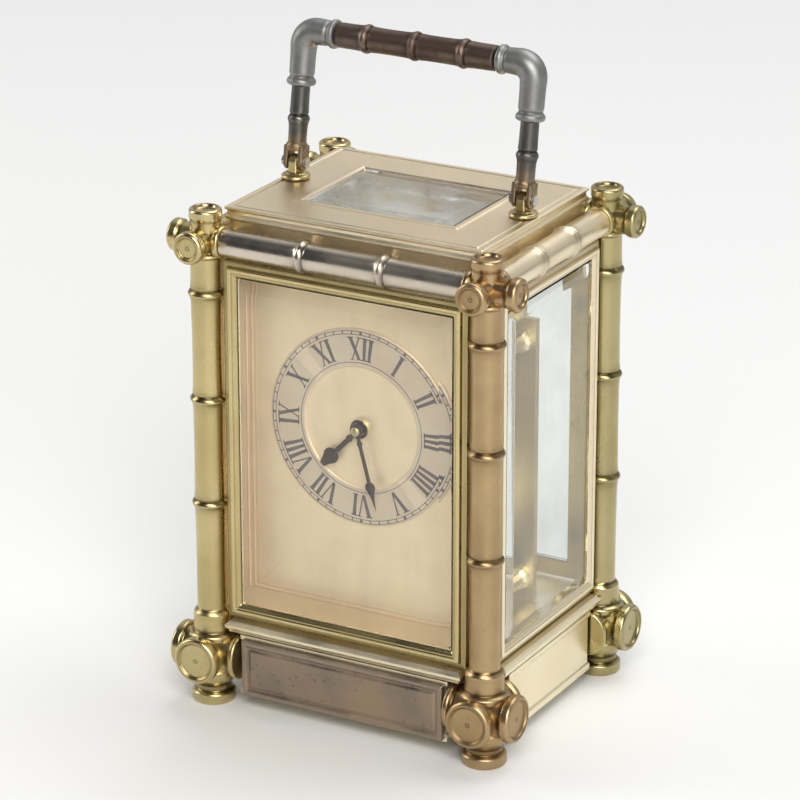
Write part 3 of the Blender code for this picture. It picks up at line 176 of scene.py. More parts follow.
def rounded(profile: list[tuple[float, float]], step: float = 0.22, reach: float = 0.5) -> np.ndarray:
    """Profile with its corners rounded: it is sampled at even steps and each sample becomes the average
    of its neighbours within reach. The two ends stay.

    Args:
        profile: corner points.
        step: distance between samples.
        reach: how far the averaging looks each way.

    Returns:
        The sampled points as an array of (points, 2).
    """
    corners = np.array(profile, float)
    lengths = np.concatenate([[0], np.cumsum(np.linalg.norm(np.diff(corners, axis=0), axis=1))])
    along = np.linspace(0, lengths[-1], max(4, int(lengths[-1] / step)))
    samples = np.stack([np.interp(along, lengths, corners[:, k]) for k in (0, 1)], -1)
    half = max(1, int(reach / step))
    before = 2 * samples[:1] - samples[half:0:-1]
    after = 2 * samples[-1:] - samples[-2:-half - 2:-1]
    padded = np.concatenate([before, samples, after])
    kernel = np.hanning(2 * half + 3)[1:-1]
    kernel /= kernel.sum()
    smooth = np.stack([np.convolve(padded[:, k], kernel, "valid") for k in (0, 1)], -1)
    smooth[[0, -1]] = samples[[0, -1]]
    return smooth


def revolved(profile: np.ndarray, sides: int = 40, wobble: float = 0.0,
             tarnish: np.ndarray | None = None) -> Surface:
    """Surface of revolution about Z: radius times (cosine, sine) of the angle, at the profile's heights.

    Args:
        profile: (radius, height) rows.
        sides: points round each ring.
        wobble: share by which the section is drawn out of round, turning slowly with height.
        tarnish: tarnish and painted shade for each row.

    Returns:
        The closed surface.
    """
    angle = np.linspace(0, math.tau, sides, endpoint=False)[None, :]
    radius, height = np.maximum(profile[:, :1], 1e-3), profile[:, 1:]
    radius = radius * (1 + wobble * np.sin(2 * angle + height * 0.11))
    rings = np.stack([radius * np.cos(angle), radius * np.sin(angle), height + 0 * angle], -1)
    # by default, painted shade and tarnish come from the profile's concave places
    return skinned(rings, tarnish=concave_shade_and_tarnish(profile) if tarnish is None else tarnish)


def swept_round(profile: np.ndarray, steps: int = 120) -> Surface:
    """Closed loop of (radius, height) rows carried round Z at even angles."""
    angle = np.linspace(0, math.tau, steps, endpoint=False)[:, None]
    rings = np.stack([np.cos(angle) * profile[:, 0], np.sin(angle) * profile[:, 0],
                      profile[:, 1] + 0 * angle], -1)
    return skinned(rings, closed=True)


def concave_shade_and_tarnish(profile: np.ndarray) -> np.ndarray:
    """Painted shade and tarnish that gather in a profile's concave places: how far each sample lies inside
    the average of its neighbours a millimetre away, as a share of 0.15 mm.

    Args:
        profile: (outward, along) rows at even steps.

    Returns:
        A value from 0 to 1 for each row.
    """
    outward = np.pad(profile[:, 0], 4, mode="edge")
    around = (outward[:-8] + outward[8:]) / 2
    return np.clip((around - profile[:, 0]) / 0.15, 0, 1)


def piped(path: np.ndarray, radii: np.ndarray, sides: int = 28) -> Surface:
    """Round bar along a path in the XZ plane: a circle of the local radius, square to the path.

    Args:
        path: (x, z) rows.
        radii: the radius at each row.
        sides: points round each circle.

    Returns:
        The closed surface.
    """
    slope = np.gradient(path, axis=0)
    slope /= np.linalg.norm(slope, axis=1, keepdims=True)
    angle = np.linspace(0, math.tau, sides, endpoint=False)
    side = np.cos(angle)[None, :] * radii[:, None]
    depth = np.sin(angle)[None, :] * radii[:, None]
    rings = np.stack([path[:, :1] + slope[:, 1:] * side, depth, path[:, 1:] - slope[:, :1] * side], -1)
    return skinned(rings)


def corner_points(half_x: np.ndarray, half_y: np.ndarray, radius: float, count: int = 5) -> np.ndarray:
    """Rectangles with rounded corners: each corner is a quarter circle about its own centre.

    Args:
        half_x: half widths, one for each rectangle.
        half_y: half heights.
        radius: the corners' radius.
        count: points in each quarter circle.

    Returns:
        (rectangles, points, 2) in order round the outline.
    """
    sweep = np.linspace(0, math.pi / 2, count)
    parts = []
    for quarter, (sx, sy) in enumerate(((1, 1), (-1, 1), (-1, -1), (1, -1))):
        angle = sweep + quarter * math.pi / 2
        x = sx * (half_x[:, None] - radius) + radius * np.cos(angle)
        y = sy * (half_y[:, None] - radius) + radius * np.sin(angle)
        parts.append(np.stack([x, y], -1))
    return np.concatenate(parts, 1)


def moulded_frame(half_x: float, half_y: float, profile: np.ndarray, corner: float = 0.35,
                  tarnish: np.ndarray | None = None) -> Surface:
    """Picture-frame moulding: a closed profile carried round a rectangle. The profile's first number is the
    distance inwards from the rectangle and its second is the height.

    Args:
        half_x: half the outer width.
        half_y: half the outer height.
        profile: (inward, height) rows of a closed loop.
        corner: radius of the outer corners.
        tarnish: tarnish and painted shade for each row of the profile.

    Returns:
        The closed surface, lying in the XY plane with its face at +Z.
    """
    inward = profile[:, 0]
    flat = corner_points(half_x - inward, half_y - inward, corner)
    height = np.broadcast_to(profile[:, 1][:, None, None], (*flat.shape[:2], 1))
    return skinned(np.concatenate([flat, height], -1), closed=True, tarnish=tarnish)


def stacked_panel(half_x: float, half_y: float, profile: np.ndarray, corner: float = 0.3) -> Surface:
    """Solid panel: rounded rectangles stacked by a profile of (inward, height), closed at both ends."""
    flat = corner_points(half_x - profile[:, 0], half_y - profile[:, 0], corner)
    height = np.broadcast_to(profile[:, 1][:, None, None], (*flat.shape[:2], 1))
    return skinned(np.concatenate([flat, height], -1))


def stacked_cross(half: tuple[float, float], notch: tuple[float, float], profile: np.ndarray,
                  inner: tuple[float, float] | None = None) -> Surface:
    """Plate whose four corners are cut away square. Its outline shrinks evenly by the profile's first number
    while the second gives the height. With an inner opening the skin goes on down its walls.

    Args:
        half: half width and half depth of the outline.
        notch: where the corner cuts begin.
        profile: (inward, height) rows.
        inner: half width and half depth of a rectangular opening.

    Returns:
        The closed surface.
    """
    quarter = np.array([(half[0], notch[1]), (notch[0], notch[1]), (notch[0], half[1])])
    signs = [(1, 1, 1), (-1, 1, -1), (-1, -1, 1), (1, -1, -1)]
    outline = np.concatenate([quarter[::order] * (sx, sy) for sx, sy, order in signs])
    rings = outline[None] - np.sign(outline)[None] * profile[:, 0][:, None, None]
    heights = profile[:, 1]
    if inner is not None:
        bay = np.array([(inner[0], inner[1] - 6), (inner[0], inner[1]), (inner[0] - 6, inner[1])])
        bay = np.concatenate([bay[::order] * (sx, sy) for sx, sy, order in signs])
        rings = np.concatenate([rings, bay[None], bay[None]])
        heights = np.concatenate([heights, [heights[-1], heights[0]]])
    rings = np.concatenate([rings, np.broadcast_to(heights[:, None, None], (*rings.shape[:2], 1))], -1)
    return skinned(rings, closed=inner is not None)


def facing_front(surface: Surface) -> Surface:
    """Stands a surface up: its +Z turns to the front, -Y, and its +Y turns up."""
    return surface.turned("X", math.pi / 2)


# ---- finishes ------------------------------------------------------------------------------
PIT_SCALE = 420
RUBBED_BEND = (0.507, 0.55)
# pointiness range over which the painted shade of concave places builds up
CONCAVE_SHADE_BEND = (0.494, 0.455)
GRAIN_SCALES = {"polished": 700, "frosted": 2600, "mottled": 500, "brushed_up": 1800, "brushed_across": 1800}
GRAIN_STRETCHES = {"brushed_up": (1, 1, 0.04), "brushed_across": (0.04, 1, 1)}
BUMP_DEPTH = 0.0002
RAGGED = 0.006


class Grain(Enum):
    """How a metal's surface was left by its maker."""

    POLISHED = "polished"
    BRUSHED_UP = "brushed_up"
    BRUSHED_ACROSS = "brushed_across"
    FROSTED = "frosted"
    MOTTLED = "mottled"


def added(tree: bpy.types.NodeTree, kind: str, inputs: dict | None = None,
          **settings: object) -> bpy.types.Node:
    """Adds a shader node and fills in its inputs.

    Args:
        tree: the nodes it joins.
        kind: the node's type.
        inputs: by input name or number, a plain value or the socket that feeds it.
        settings: the node's own options.

    Returns:
        The new node.
    """
    node = tree.nodes.new(kind)
    for name, value in settings.items():
        setattr(node, name, value)
    for name, value in (inputs or {}).items():
        if isinstance(value, bpy.types.NodeSocket):
            tree.links.new(value, node.inputs[name])
        else:
            node.inputs[name].default_value = value
    return node


def patina_group() -> bpy.types.NodeTree:
    """Shared node group: cloudy tarnish, fine speckle and a fine height, from Object coordinates."""
    existing = bpy.data.node_groups.get("clock_patina")
    if existing:
        return existing
    group = bpy.data.node_groups.new("clock_patina", "ShaderNodeTree")
    for name, kind, default in (("Cloud Scale", "NodeSocketFloat", 60.0),
                                ("Grain Scale", "NodeSocketFloat", 900.0),
                                ("Grain Stretch", "NodeSocketVector", (1, 1, 1))):
        socket = group.interface.new_socket(name, in_out="INPUT", socket_type=kind)
        socket.default_value = default
    for name in ("Cloud", "Speckle", "Height"):
        group.interface.new_socket(name, in_out="OUTPUT", socket_type="NodeSocketFloat")
    source, sink = added(group, "NodeGroupInput"), added(group, "NodeGroupOutput")
    place = added(group, "ShaderNodeTexCoord").outputs["Object"]
    cloud = added(group, "ShaderNodeTexNoise", {"Detail": 5, "Roughness": 0.62, "Vector": place,
                                                "Scale": source.outputs["Cloud Scale"]})
    spread = added(group, "ShaderNodeMapRange", {"From Min": 0.32, "From Max": 0.68,
                                                 "Value": cloud.outputs["Fac"]},
                   interpolation_type="SMOOTHSTEP")
    stretch = added(group, "ShaderNodeVectorMath", {0: place, 1: source.outputs["Grain Stretch"]},
                    operation="MULTIPLY")
    grain = added(group, "ShaderNodeTexNoise", {"Detail": 3, "Vector": stretch.outputs["Vector"],
                                                "Scale": source.outputs["Grain Scale"]})
    pits = added(group, "ShaderNodeTexVoronoi", {"Scale": PIT_SCALE, "Vector": place})
    speck = added(group, "ShaderNodeMapRange", {"From Min": 0.05, "From Max": 0.22, "To Min": 1, "To Max": 0,
                                                "Value": pits.outputs["Distance"]})
    for name, socket in (("Cloud", spread.outputs["Result"]), ("Speckle", speck.outputs["Result"]),
                         ("Height", grain.outputs["Fac"])):
        group.links.new(socket, sink.inputs[name])
    return group


def rub_and_shade_group() -> bpy.types.NodeTree:
    """Shared node group: bright rubbed edges and painted shade in concave places, from how sharply the
    surface bends.
    """
    existing = bpy.data.node_groups.get("clock_rub_and_shade")
    if existing:
        return existing
    group = bpy.data.node_groups.new("clock_rub_and_shade", "ShaderNodeTree")
    for name in ("Rubbed", "Concave_Shade"):
        group.interface.new_socket(name, in_out="OUTPUT", socket_type="NodeSocketFloat")
    sink = added(group, "NodeGroupOutput")
    bend = added(group, "ShaderNodeNewGeometry").outputs["Pointiness"]
    for name, (low, high) in (("Rubbed", RUBBED_BEND), ("Concave_Shade", CONCAVE_SHADE_BEND)):
        ramp = added(group, "ShaderNodeMapRange", {"From Min": low, "From Max": high, "Value": bend})
        group.links.new(ramp.outputs["Result"], sink.inputs[name])
    return group


@dataclass(frozen=True)
class Metal:
    """A metal finish: its clean colour, its tarnish, and how its grain catches the light."""

    name: str
    colour: tuple[float, float, float]
    tarnish: tuple[float, float, float]
    # dark colour for dirt in pits and for the painted shade of concave places, recesses and node grooves
    dirt_and_shade: tuple[float, float, float] = (0.10, 0.07, 0.03)
    tarnish_share: float = 0.5
    dirt_and_shade_share: float = 0.7
    speckle_share: float = 0.12
    roughness: float = 0.22
    roughness_spread: float = 0.14
    metallic: float = 1.0
    grain: Grain = Grain.POLISHED
    bump: float = 0.05
    cloud_scale: float = 60.0
    low_colour: tuple[float, float, float] | None = None
    low_from: float = 0.0
    low_to: float = 0.0

    def material(self) -> bpy.types.Material:
        """The finish as a node material, made once.

        Returns:
            The material.
        """
        existing = bpy.data.materials.get(f"fine_{self.name}")
        if existing:
            return existing
        material = bpy.data.materials.new(f"fine_{self.name}")
        material.use_nodes = True
        tree = material.node_tree
        patina = added(tree, "ShaderNodeGroup", node_tree=patina_group())
        rub_and_shade = added(tree, "ShaderNodeGroup", node_tree=rub_and_shade_group())
        patina.inputs["Cloud Scale"].default_value = self.cloud_scale
        patina.inputs["Grain Scale"].default_value = GRAIN_SCALES[self.grain.value]
        patina.inputs["Grain Stretch"].default_value = GRAIN_STRETCHES.get(self.grain.value, (1, 1, 1))
        colour = self.mixed(tree, patina.outputs["Cloud"], self.tarnish_share, self.colour, self.tarnish)
        if self.low_colour is not None:
            colour = self.mixed(tree, self.low_part(tree), 1.0, colour, self.low_colour)
        colour = self.mixed(tree, patina.outputs["Speckle"], self.speckle_share, colour, self.dirt_and_shade)
        # painted shade: concave places found by pointiness darken towards the dark colour, for the shade
        # there with some dirt
        colour = self.mixed(tree, rub_and_shade.outputs["Concave_Shade"], self.dirt_and_shade_share * 0.6, colour, self.dirt_and_shade)
        # painted shade: the mesh's tarnish values darken recesses, concave places and node grooves towards
        # the dark colour, for the shade there with some tarnish
        tarnish_and_shade = added(tree, "ShaderNodeAttribute", attribute_name="tarnish")
        colour = self.mixed(tree, tarnish_and_shade.outputs["Fac"], self.dirt_and_shade_share, colour, self.dirt_and_shade)
        bright = tuple(min(1.0, c * 1.25 + 0.03) for c in self.colour)
        colour = self.mixed(tree, rub_and_shade.outputs["Rubbed"], 0.45, colour, bright)
        rough = added(tree, "ShaderNodeMath", {0: patina.outputs["Cloud"], 1: self.roughness_spread,
                                               2: self.roughness},
                      operation="MULTIPLY_ADD")
        bump = added(tree, "ShaderNodeBump", {"Strength": self.bump, "Distance": BUMP_DEPTH,
                                              "Height": patina.outputs["Height"]})
        shader = tree.nodes["Principled BSDF"]
        shader.inputs["Metallic"].default_value = self.metallic
        tree.links.new(colour, shader.inputs["Base Color"])
        tree.links.new(rough.outputs[0], shader.inputs["Roughness"])
        tree.links.new(bump.outputs["Normal"], shader.inputs["Normal"])
        return material

    def mixed(self, tree: bpy.types.NodeTree, amount: bpy.types.NodeSocket, share: float,
              first: object, second: object) -> bpy.types.NodeSocket:
        """Mix of two colours.

        Args:
            tree: the material's nodes.
            amount: socket that says where the second colour lies.
            share: how strong the second colour gets there.
            first: a colour or a socket.
            second: a colour or a socket.

        Returns:
            The mixed colour's socket.
        """
        scale = added(tree, "ShaderNodeMath", {0: amount, 1: share}, operation="MULTIPLY")
        first, second = ((*value, 1) if isinstance(value, tuple) else value for value in (first, second))
        mix = added(tree, "ShaderNodeMix", data_type="RGBA")
        for number, value in ((0, scale.outputs[0]), (6, first), (7, second)):
            if isinstance(value, tuple):
                mix.inputs[number].default_value = value
            else:
                tree.links.new(value, mix.inputs[number])
        return mix.outputs[2]

    def low_part(self, tree: bpy.types.NodeTree) -> bpy.types.NodeSocket:
        """1 below low_from, in millimetres of height, fading to 0 at low_to with a ragged edge.

        Args:
            tree: the material's nodes.

        Returns:
            The value's socket.
        """
        place = added(tree, "ShaderNodeTexCoord").outputs["Object"]
        split = added(tree, "ShaderNodeSeparateXYZ", {0: place})
        noise = added(tree, "ShaderNodeTexNoise", {"Scale": 260, "Vector": place})
        height = added(tree, "ShaderNodeMath", {0: noise.outputs["Fac"], 1: RAGGED, 2: split.outputs["Z"]},
                       operation="MULTIPLY_ADD")
        ramp = added(tree, "ShaderNodeMapRange",
                     {"From Min": self.low_from * MM + RAGGED / 2, "From Max": self.low_to * MM + RAGGED / 2,
                      "To Min": 1, "To Max": 0, "Value": height.outputs[0]}, interpolation_type="SMOOTHSTEP")
        return ramp.outputs["Result"]


@dataclass(frozen=True)
class Glass:
    """Old plate glass with a faint green body and a thin film of dust that light and shadows pass through."""

    name: str
    colour: tuple[float, float, float]
    dust: tuple[float, float, float] = (0.80, 0.80, 0.77)
    haze: float = 0.03
    ior: float = 1.46

    def material(self) -> bpy.types.Material:
        """The glass as a node material, made once.

        Returns:
            The material.
        """
        existing = bpy.data.materials.get(f"fine_{self.name}")
        if existing:
            return existing
        material = bpy.data.materials.new(f"fine_{self.name}")
        material.use_nodes = True
        tree = material.node_tree
        patina = added(tree, "ShaderNodeGroup", node_tree=patina_group())
        for name, value in (("Cloud Scale", 45), ("Grain Stretch", (1, 1, 0.15)), ("Grain Scale", 240)):
            patina.inputs[name].default_value = value
        film = added(tree, "ShaderNodeMath", {0: patina.outputs["Cloud"], 1: patina.outputs["Height"]},
                     operation="MULTIPLY")
        tint = added(tree, "ShaderNodeMix", data_type="RGBA")
        tint.inputs[6].default_value = (*self.colour, 1)
        tint.inputs[7].default_value = (*self.dust, 1)
        tree.links.new(film.outputs[0], tint.inputs[0])
        rough = added(tree, "ShaderNodeMath", {0: film.outputs[0], 1: self.haze}, operation="MULTIPLY")
        shader = tree.nodes["Principled BSDF"]
        shader.inputs["Transmission Weight"].default_value = 1
        shader.inputs["IOR"].default_value = self.ior
        tree.links.new(tint.outputs[2], shader.inputs["Base Color"])
        tree.links.new(rough.outputs[0], shader.inputs["Roughness"])
        # lamps shine through the panes: shadow and diffuse rays meet a clear film in place of the glass
        path = added(tree, "ShaderNodeLightPath")
        either = added(tree, "ShaderNodeMath", {0: path.outputs["Is Shadow Ray"],
                                                1: path.outputs["Is Diffuse Ray"]},
                       operation="MAXIMUM")
        clear = added(tree, "ShaderNodeBsdfTransparent", {"Color": (0.93, 0.95, 0.94, 1)})
        blend = added(tree, "ShaderNodeMixShader", {0: either.outputs[0], 1: shader.outputs[0],
                                                    2: clear.outputs[0]})
        tree.links.new(blend.outputs[0], tree.nodes["Material Output"].inputs["Surface"])
        return material


BRASS = Metal("lacquered_brass", (0.56, 0.46, 0.235), (0.42, 0.33, 0.14), roughness=0.22, cloud_scale=48,
              dirt_and_shade=(0.11, 0.075, 0.025))
WARM_BRASS = Metal("warm_brass", (0.46, 0.33, 0.175), (0.33, 0.215, 0.105), roughness=0.26, cloud_scale=52,
                   dirt_and_shade=(0.12, 0.07, 0.025), dirt_and_shade_share=0.85)
OLIVE_BRASS = Metal("olive_brass", (0.45, 0.385, 0.20), (0.29, 0.245, 0.10), roughness=0.2, cloud_scale=44,
                    dirt_and_shade=(0.09, 0.07, 0.02), dirt_and_shade_share=0.8)
PLATE_BRASS = Metal("sheet_brass", (0.84, 0.72, 0.52), (0.74, 0.61, 0.42), roughness=0.3, tarnish_share=0.45,
                    grain=Grain.BRUSHED_ACROSS, bump=0.08, cloud_scale=40)
# painted light and reflection: a paler copy of the case brass for surfaces on the bright side or facing the
# bright table
PAINTED_LIGHT_BRASS = Metal("brass_painted_light", (0.84, 0.73, 0.53), (0.76, 0.63, 0.44), roughness=0.3, tarnish_share=0.5,
                   grain=Grain.BRUSHED_UP, bump=0.06, cloud_scale=44)
# painted reflection: a grey copy of the case brass that stands in for the dark blue-grey reflection on the
# front cane
PAINTED_REFLECTION_BRASS = Metal("brass_painted_grey_reflection", (0.64, 0.57, 0.47), (0.49, 0.43, 0.35), roughness=0.2, cloud_scale=50,
                   dirt_and_shade=(0.10, 0.08, 0.06))
# painted light: a pale brass for the movement, made paler so the movement seen through the glass reads light
# rather than shaded
PAINTED_LIGHT_MOVEMENT = Metal("movement_painted_light", (0.84, 0.71, 0.46), (0.72, 0.58, 0.34), roughness=0.34,
                       grain=Grain.BRUSHED_UP, bump=0.07, cloud_scale=60, speckle_share=0.05,
                       tarnish_share=0.4)
# painted reflection: the plinth's front panel is the case's polished brass, coloured dark and mottled for the
# dark surroundings its face reflects
PAINTED_DARK_REFLECTION_BRASS = Metal("panel_painted_dark_reflection", (0.27, 0.22, 0.175), (0.45, 0.335, 0.225), dirt_and_shade=(0.05, 0.04, 0.035),
               roughness=0.36, roughness_spread=0.25, grain=Grain.MOTTLED, bump=0.35, cloud_scale=75,
               tarnish_share=0.75, speckle_share=0.4)
NICKEL = Metal("worn_nickel", (0.27, 0.27, 0.265), (0.19, 0.187, 0.18), dirt_and_shade=(0.06, 0.05, 0.04),
               roughness=0.42,
               cloud_scale=110, bump=0.08)
LEG_NICKEL = Metal("leg_nickel", (0.13, 0.127, 0.118), (0.075, 0.07, 0.055), dirt_and_shade=(0.03, 0.025, 0.02),
                   roughness=0.34, cloud_scale=120, low_colour=(0.34, 0.23, 0.10), low_from=145.0,
                   low_to=152.0)
CANE_BROWN = Metal("brown_cane", (0.17, 0.125, 0.10), (0.08, 0.052, 0.038), dirt_and_shade=(0.03, 0.018, 0.012),
                   roughness=0.38, grain=Grain.MOTTLED, bump=0.25, cloud_scale=95, tarnish_share=0.8,
                   speckle_share=0.35)
GILT = Metal("frosted_gilt", (0.93, 0.675, 0.455), (0.87, 0.595, 0.385), dirt_and_shade=(0.28, 0.18, 0.10),
             roughness=0.46,
             roughness_spread=0.1, grain=Grain.FROSTED, bump=0.16, cloud_scale=32, metallic=0.6,
             tarnish_share=0.6, speckle_share=0.05, dirt_and_shade_share=0.4)
SILVERED = Metal("silvered_ring", (0.76, 0.61, 0.46), (0.66, 0.50, 0.38), dirt_and_shade=(0.28, 0.20, 0.14),
                 roughness=0.48,
                 grain=Grain.FROSTED, bump=0.12, cloud_scale=70, metallic=0.5, speckle_share=0.08)
INK = Metal("black_wax", (0.10, 0.075, 0.075), (0.16, 0.12, 0.11), dirt_and_shade=(0.3, 0.22, 0.14), roughness=0.45,
            metallic=0.0, grain=Grain.MOTTLED, bump=0.2, cloud_scale=200, speckle_share=0.15, dirt_and_shade_share=0.1)
STEEL = Metal("bright_steel", (0.50, 0.49, 0.47), (0.34, 0.32, 0.29), dirt_and_shade=(0.12, 0.09, 0.07),
              roughness=0.22,
              grain=Grain.BRUSHED_ACROSS, cloud_scale=150)
BLUED = Metal("blued_steel", (0.10, 0.065, 0.05), (0.06, 0.045, 0.05), dirt_and_shade=(0.02, 0.015, 0.012),
              roughness=0.32,
              cloud_scale=160)
PANE = Glass("bevelled_glass", (0.95, 0.98, 0.965))
HAZY_PANE = Glass("hazy_top_glass", (0.97, 0.98, 0.965), haze=0.55)


# ---- making pieces -------------------------------------------------------------------------
def make_piece(name: str, surface: Surface, finish: Metal | Glass, body: str,
               stands_for: list[str] | None = None,
               sharp_deg: float = 38.0) -> bpy.types.Object:
    """Puts a surface into the scene as a finished piece that rides on a body.

    Args:
        name: the piece's name.
        surface: its shape, in millimetres.
        finish: its finish.
        body: the body it moves with.
        stands_for: the CAD nodes that it replaces.
        sharp_deg: edges sharper than this stay crisp.

    Returns:
        The new object.
    """
    mesh = bpy.data.meshes.new(name)
    faces = surface.quads.tolist() + surface.triangles.tolist()
    mesh.from_pydata((surface.points * MM).tolist(), [], faces)
    edit = bmesh.new()
    edit.from_mesh(mesh)
    bmesh.ops.recalc_face_normals(edit, faces=edit.faces)
    edit.to_mesh(mesh)
    edit.free()
    mesh.shade_smooth()
    mesh.set_sharp_from_angle(angle=math.radians(sharp_deg))
    # tarnish values per point, which also carry the painted shade of recesses, concave places and node
    # grooves
    tarnish_and_shade = mesh.attributes.new("tarnish", "FLOAT", "POINT")
    tarnish_and_shade.data.foreach_set("value", surface.darkness().astype(np.float32))
    mesh.materials.append(finish.material())
    piece = bpy.data.objects.new(name, mesh)
    bpy.context.scene.collection.objects.link(piece)
    if stands_for:
        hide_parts(*stands_for)
    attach(piece, body)
    LOG.info("%s: %d points on %s", name, len(surface.points), body)
    return piece


def refinish(node: str, finish: Metal | Glass) -> None:
    """Gives a CAD node that stays in view its detailed finish."""
    item = frame["nodes"][node]
    item.data.materials.clear()
    item.data.materials.append(finish.material())
    LOG.info("%s: kept, finished in %s", node, finish.name)


def screw(radius: float, height: float, slot_angle: float) -> Surface:
    """Cheese-head screw: a low turned head with a slot sunk across it.

    Args:
        radius: head radius.
        height: head height.
        slot_angle: direction of the slot in radians.

    Returns:
        The head, standing on Z = 0.
    """
    outline = [(0, 0), (radius, 0), (radius, height * 0.8), (radius * 0.86, height), (0, height)]
    head = revolved(rounded(outline, 0.08, 0.1), 24)
    span, width, depth = radius * 0.98, radius * 0.14, height * 0.35
    # the slot is pressed into the head: points within its width sink by its depth
    x, y, z = head.points.T
    across = y * math.cos(slot_angle) - x * math.sin(slot_angle)
    sunk = (np.abs(across) < width) & (z > height * 0.7) & (np.hypot(x, y) < span)
    head.points[:, 2] -= depth * sunk
    return head


# ---- bamboo --------------------------------------------------------------------------------
def cane_radius(along: np.ndarray, base: float, nodes: np.ndarray, proud: float) -> np.ndarray:
    """Radius of a bamboo cane: a little slimmer midway between nodes, a soft ridge at each node, and a
    narrow groove just past the ridge.

    Args:
        along: distances along the cane.
        base: the cane's radius.
        nodes: where the nodes are.
        proud: how far a ridge stands out.

    Returns:
        The radius at each distance.
    """
    away = along[:, None] - nodes[None, :]
    ridge = np.exp(-(away / 0.75) ** 2).max(1)
    lip = np.exp(-((away - 0.2) / 1.9) ** 2).max(1)
    groove = np.exp(-((away - 1.25) / 0.3) ** 2).max(1)
    slim = np.abs(away).min(1)
    return base - 0.12 * np.clip(slim / 12, 0, 1) + proud * (0.62 * ridge + 0.38 * lip) - 0.28 * groove


def cane_shade_and_tarnish(along: np.ndarray, nodes: np.ndarray) -> np.ndarray:
    """Painted shade and tarnish along a cane: strong in the groove past each node, fading over a few
    millimetres round it.
    """
    away = along[:, None] - nodes[None, :]
    groove = np.exp(-((away - 1.1) / 0.8) ** 2).max(1)
    haze = np.exp(-(away / 2.6) ** 2).max(1)
    return np.clip(0.75 * groove + 0.35 * haze, 0, 1)


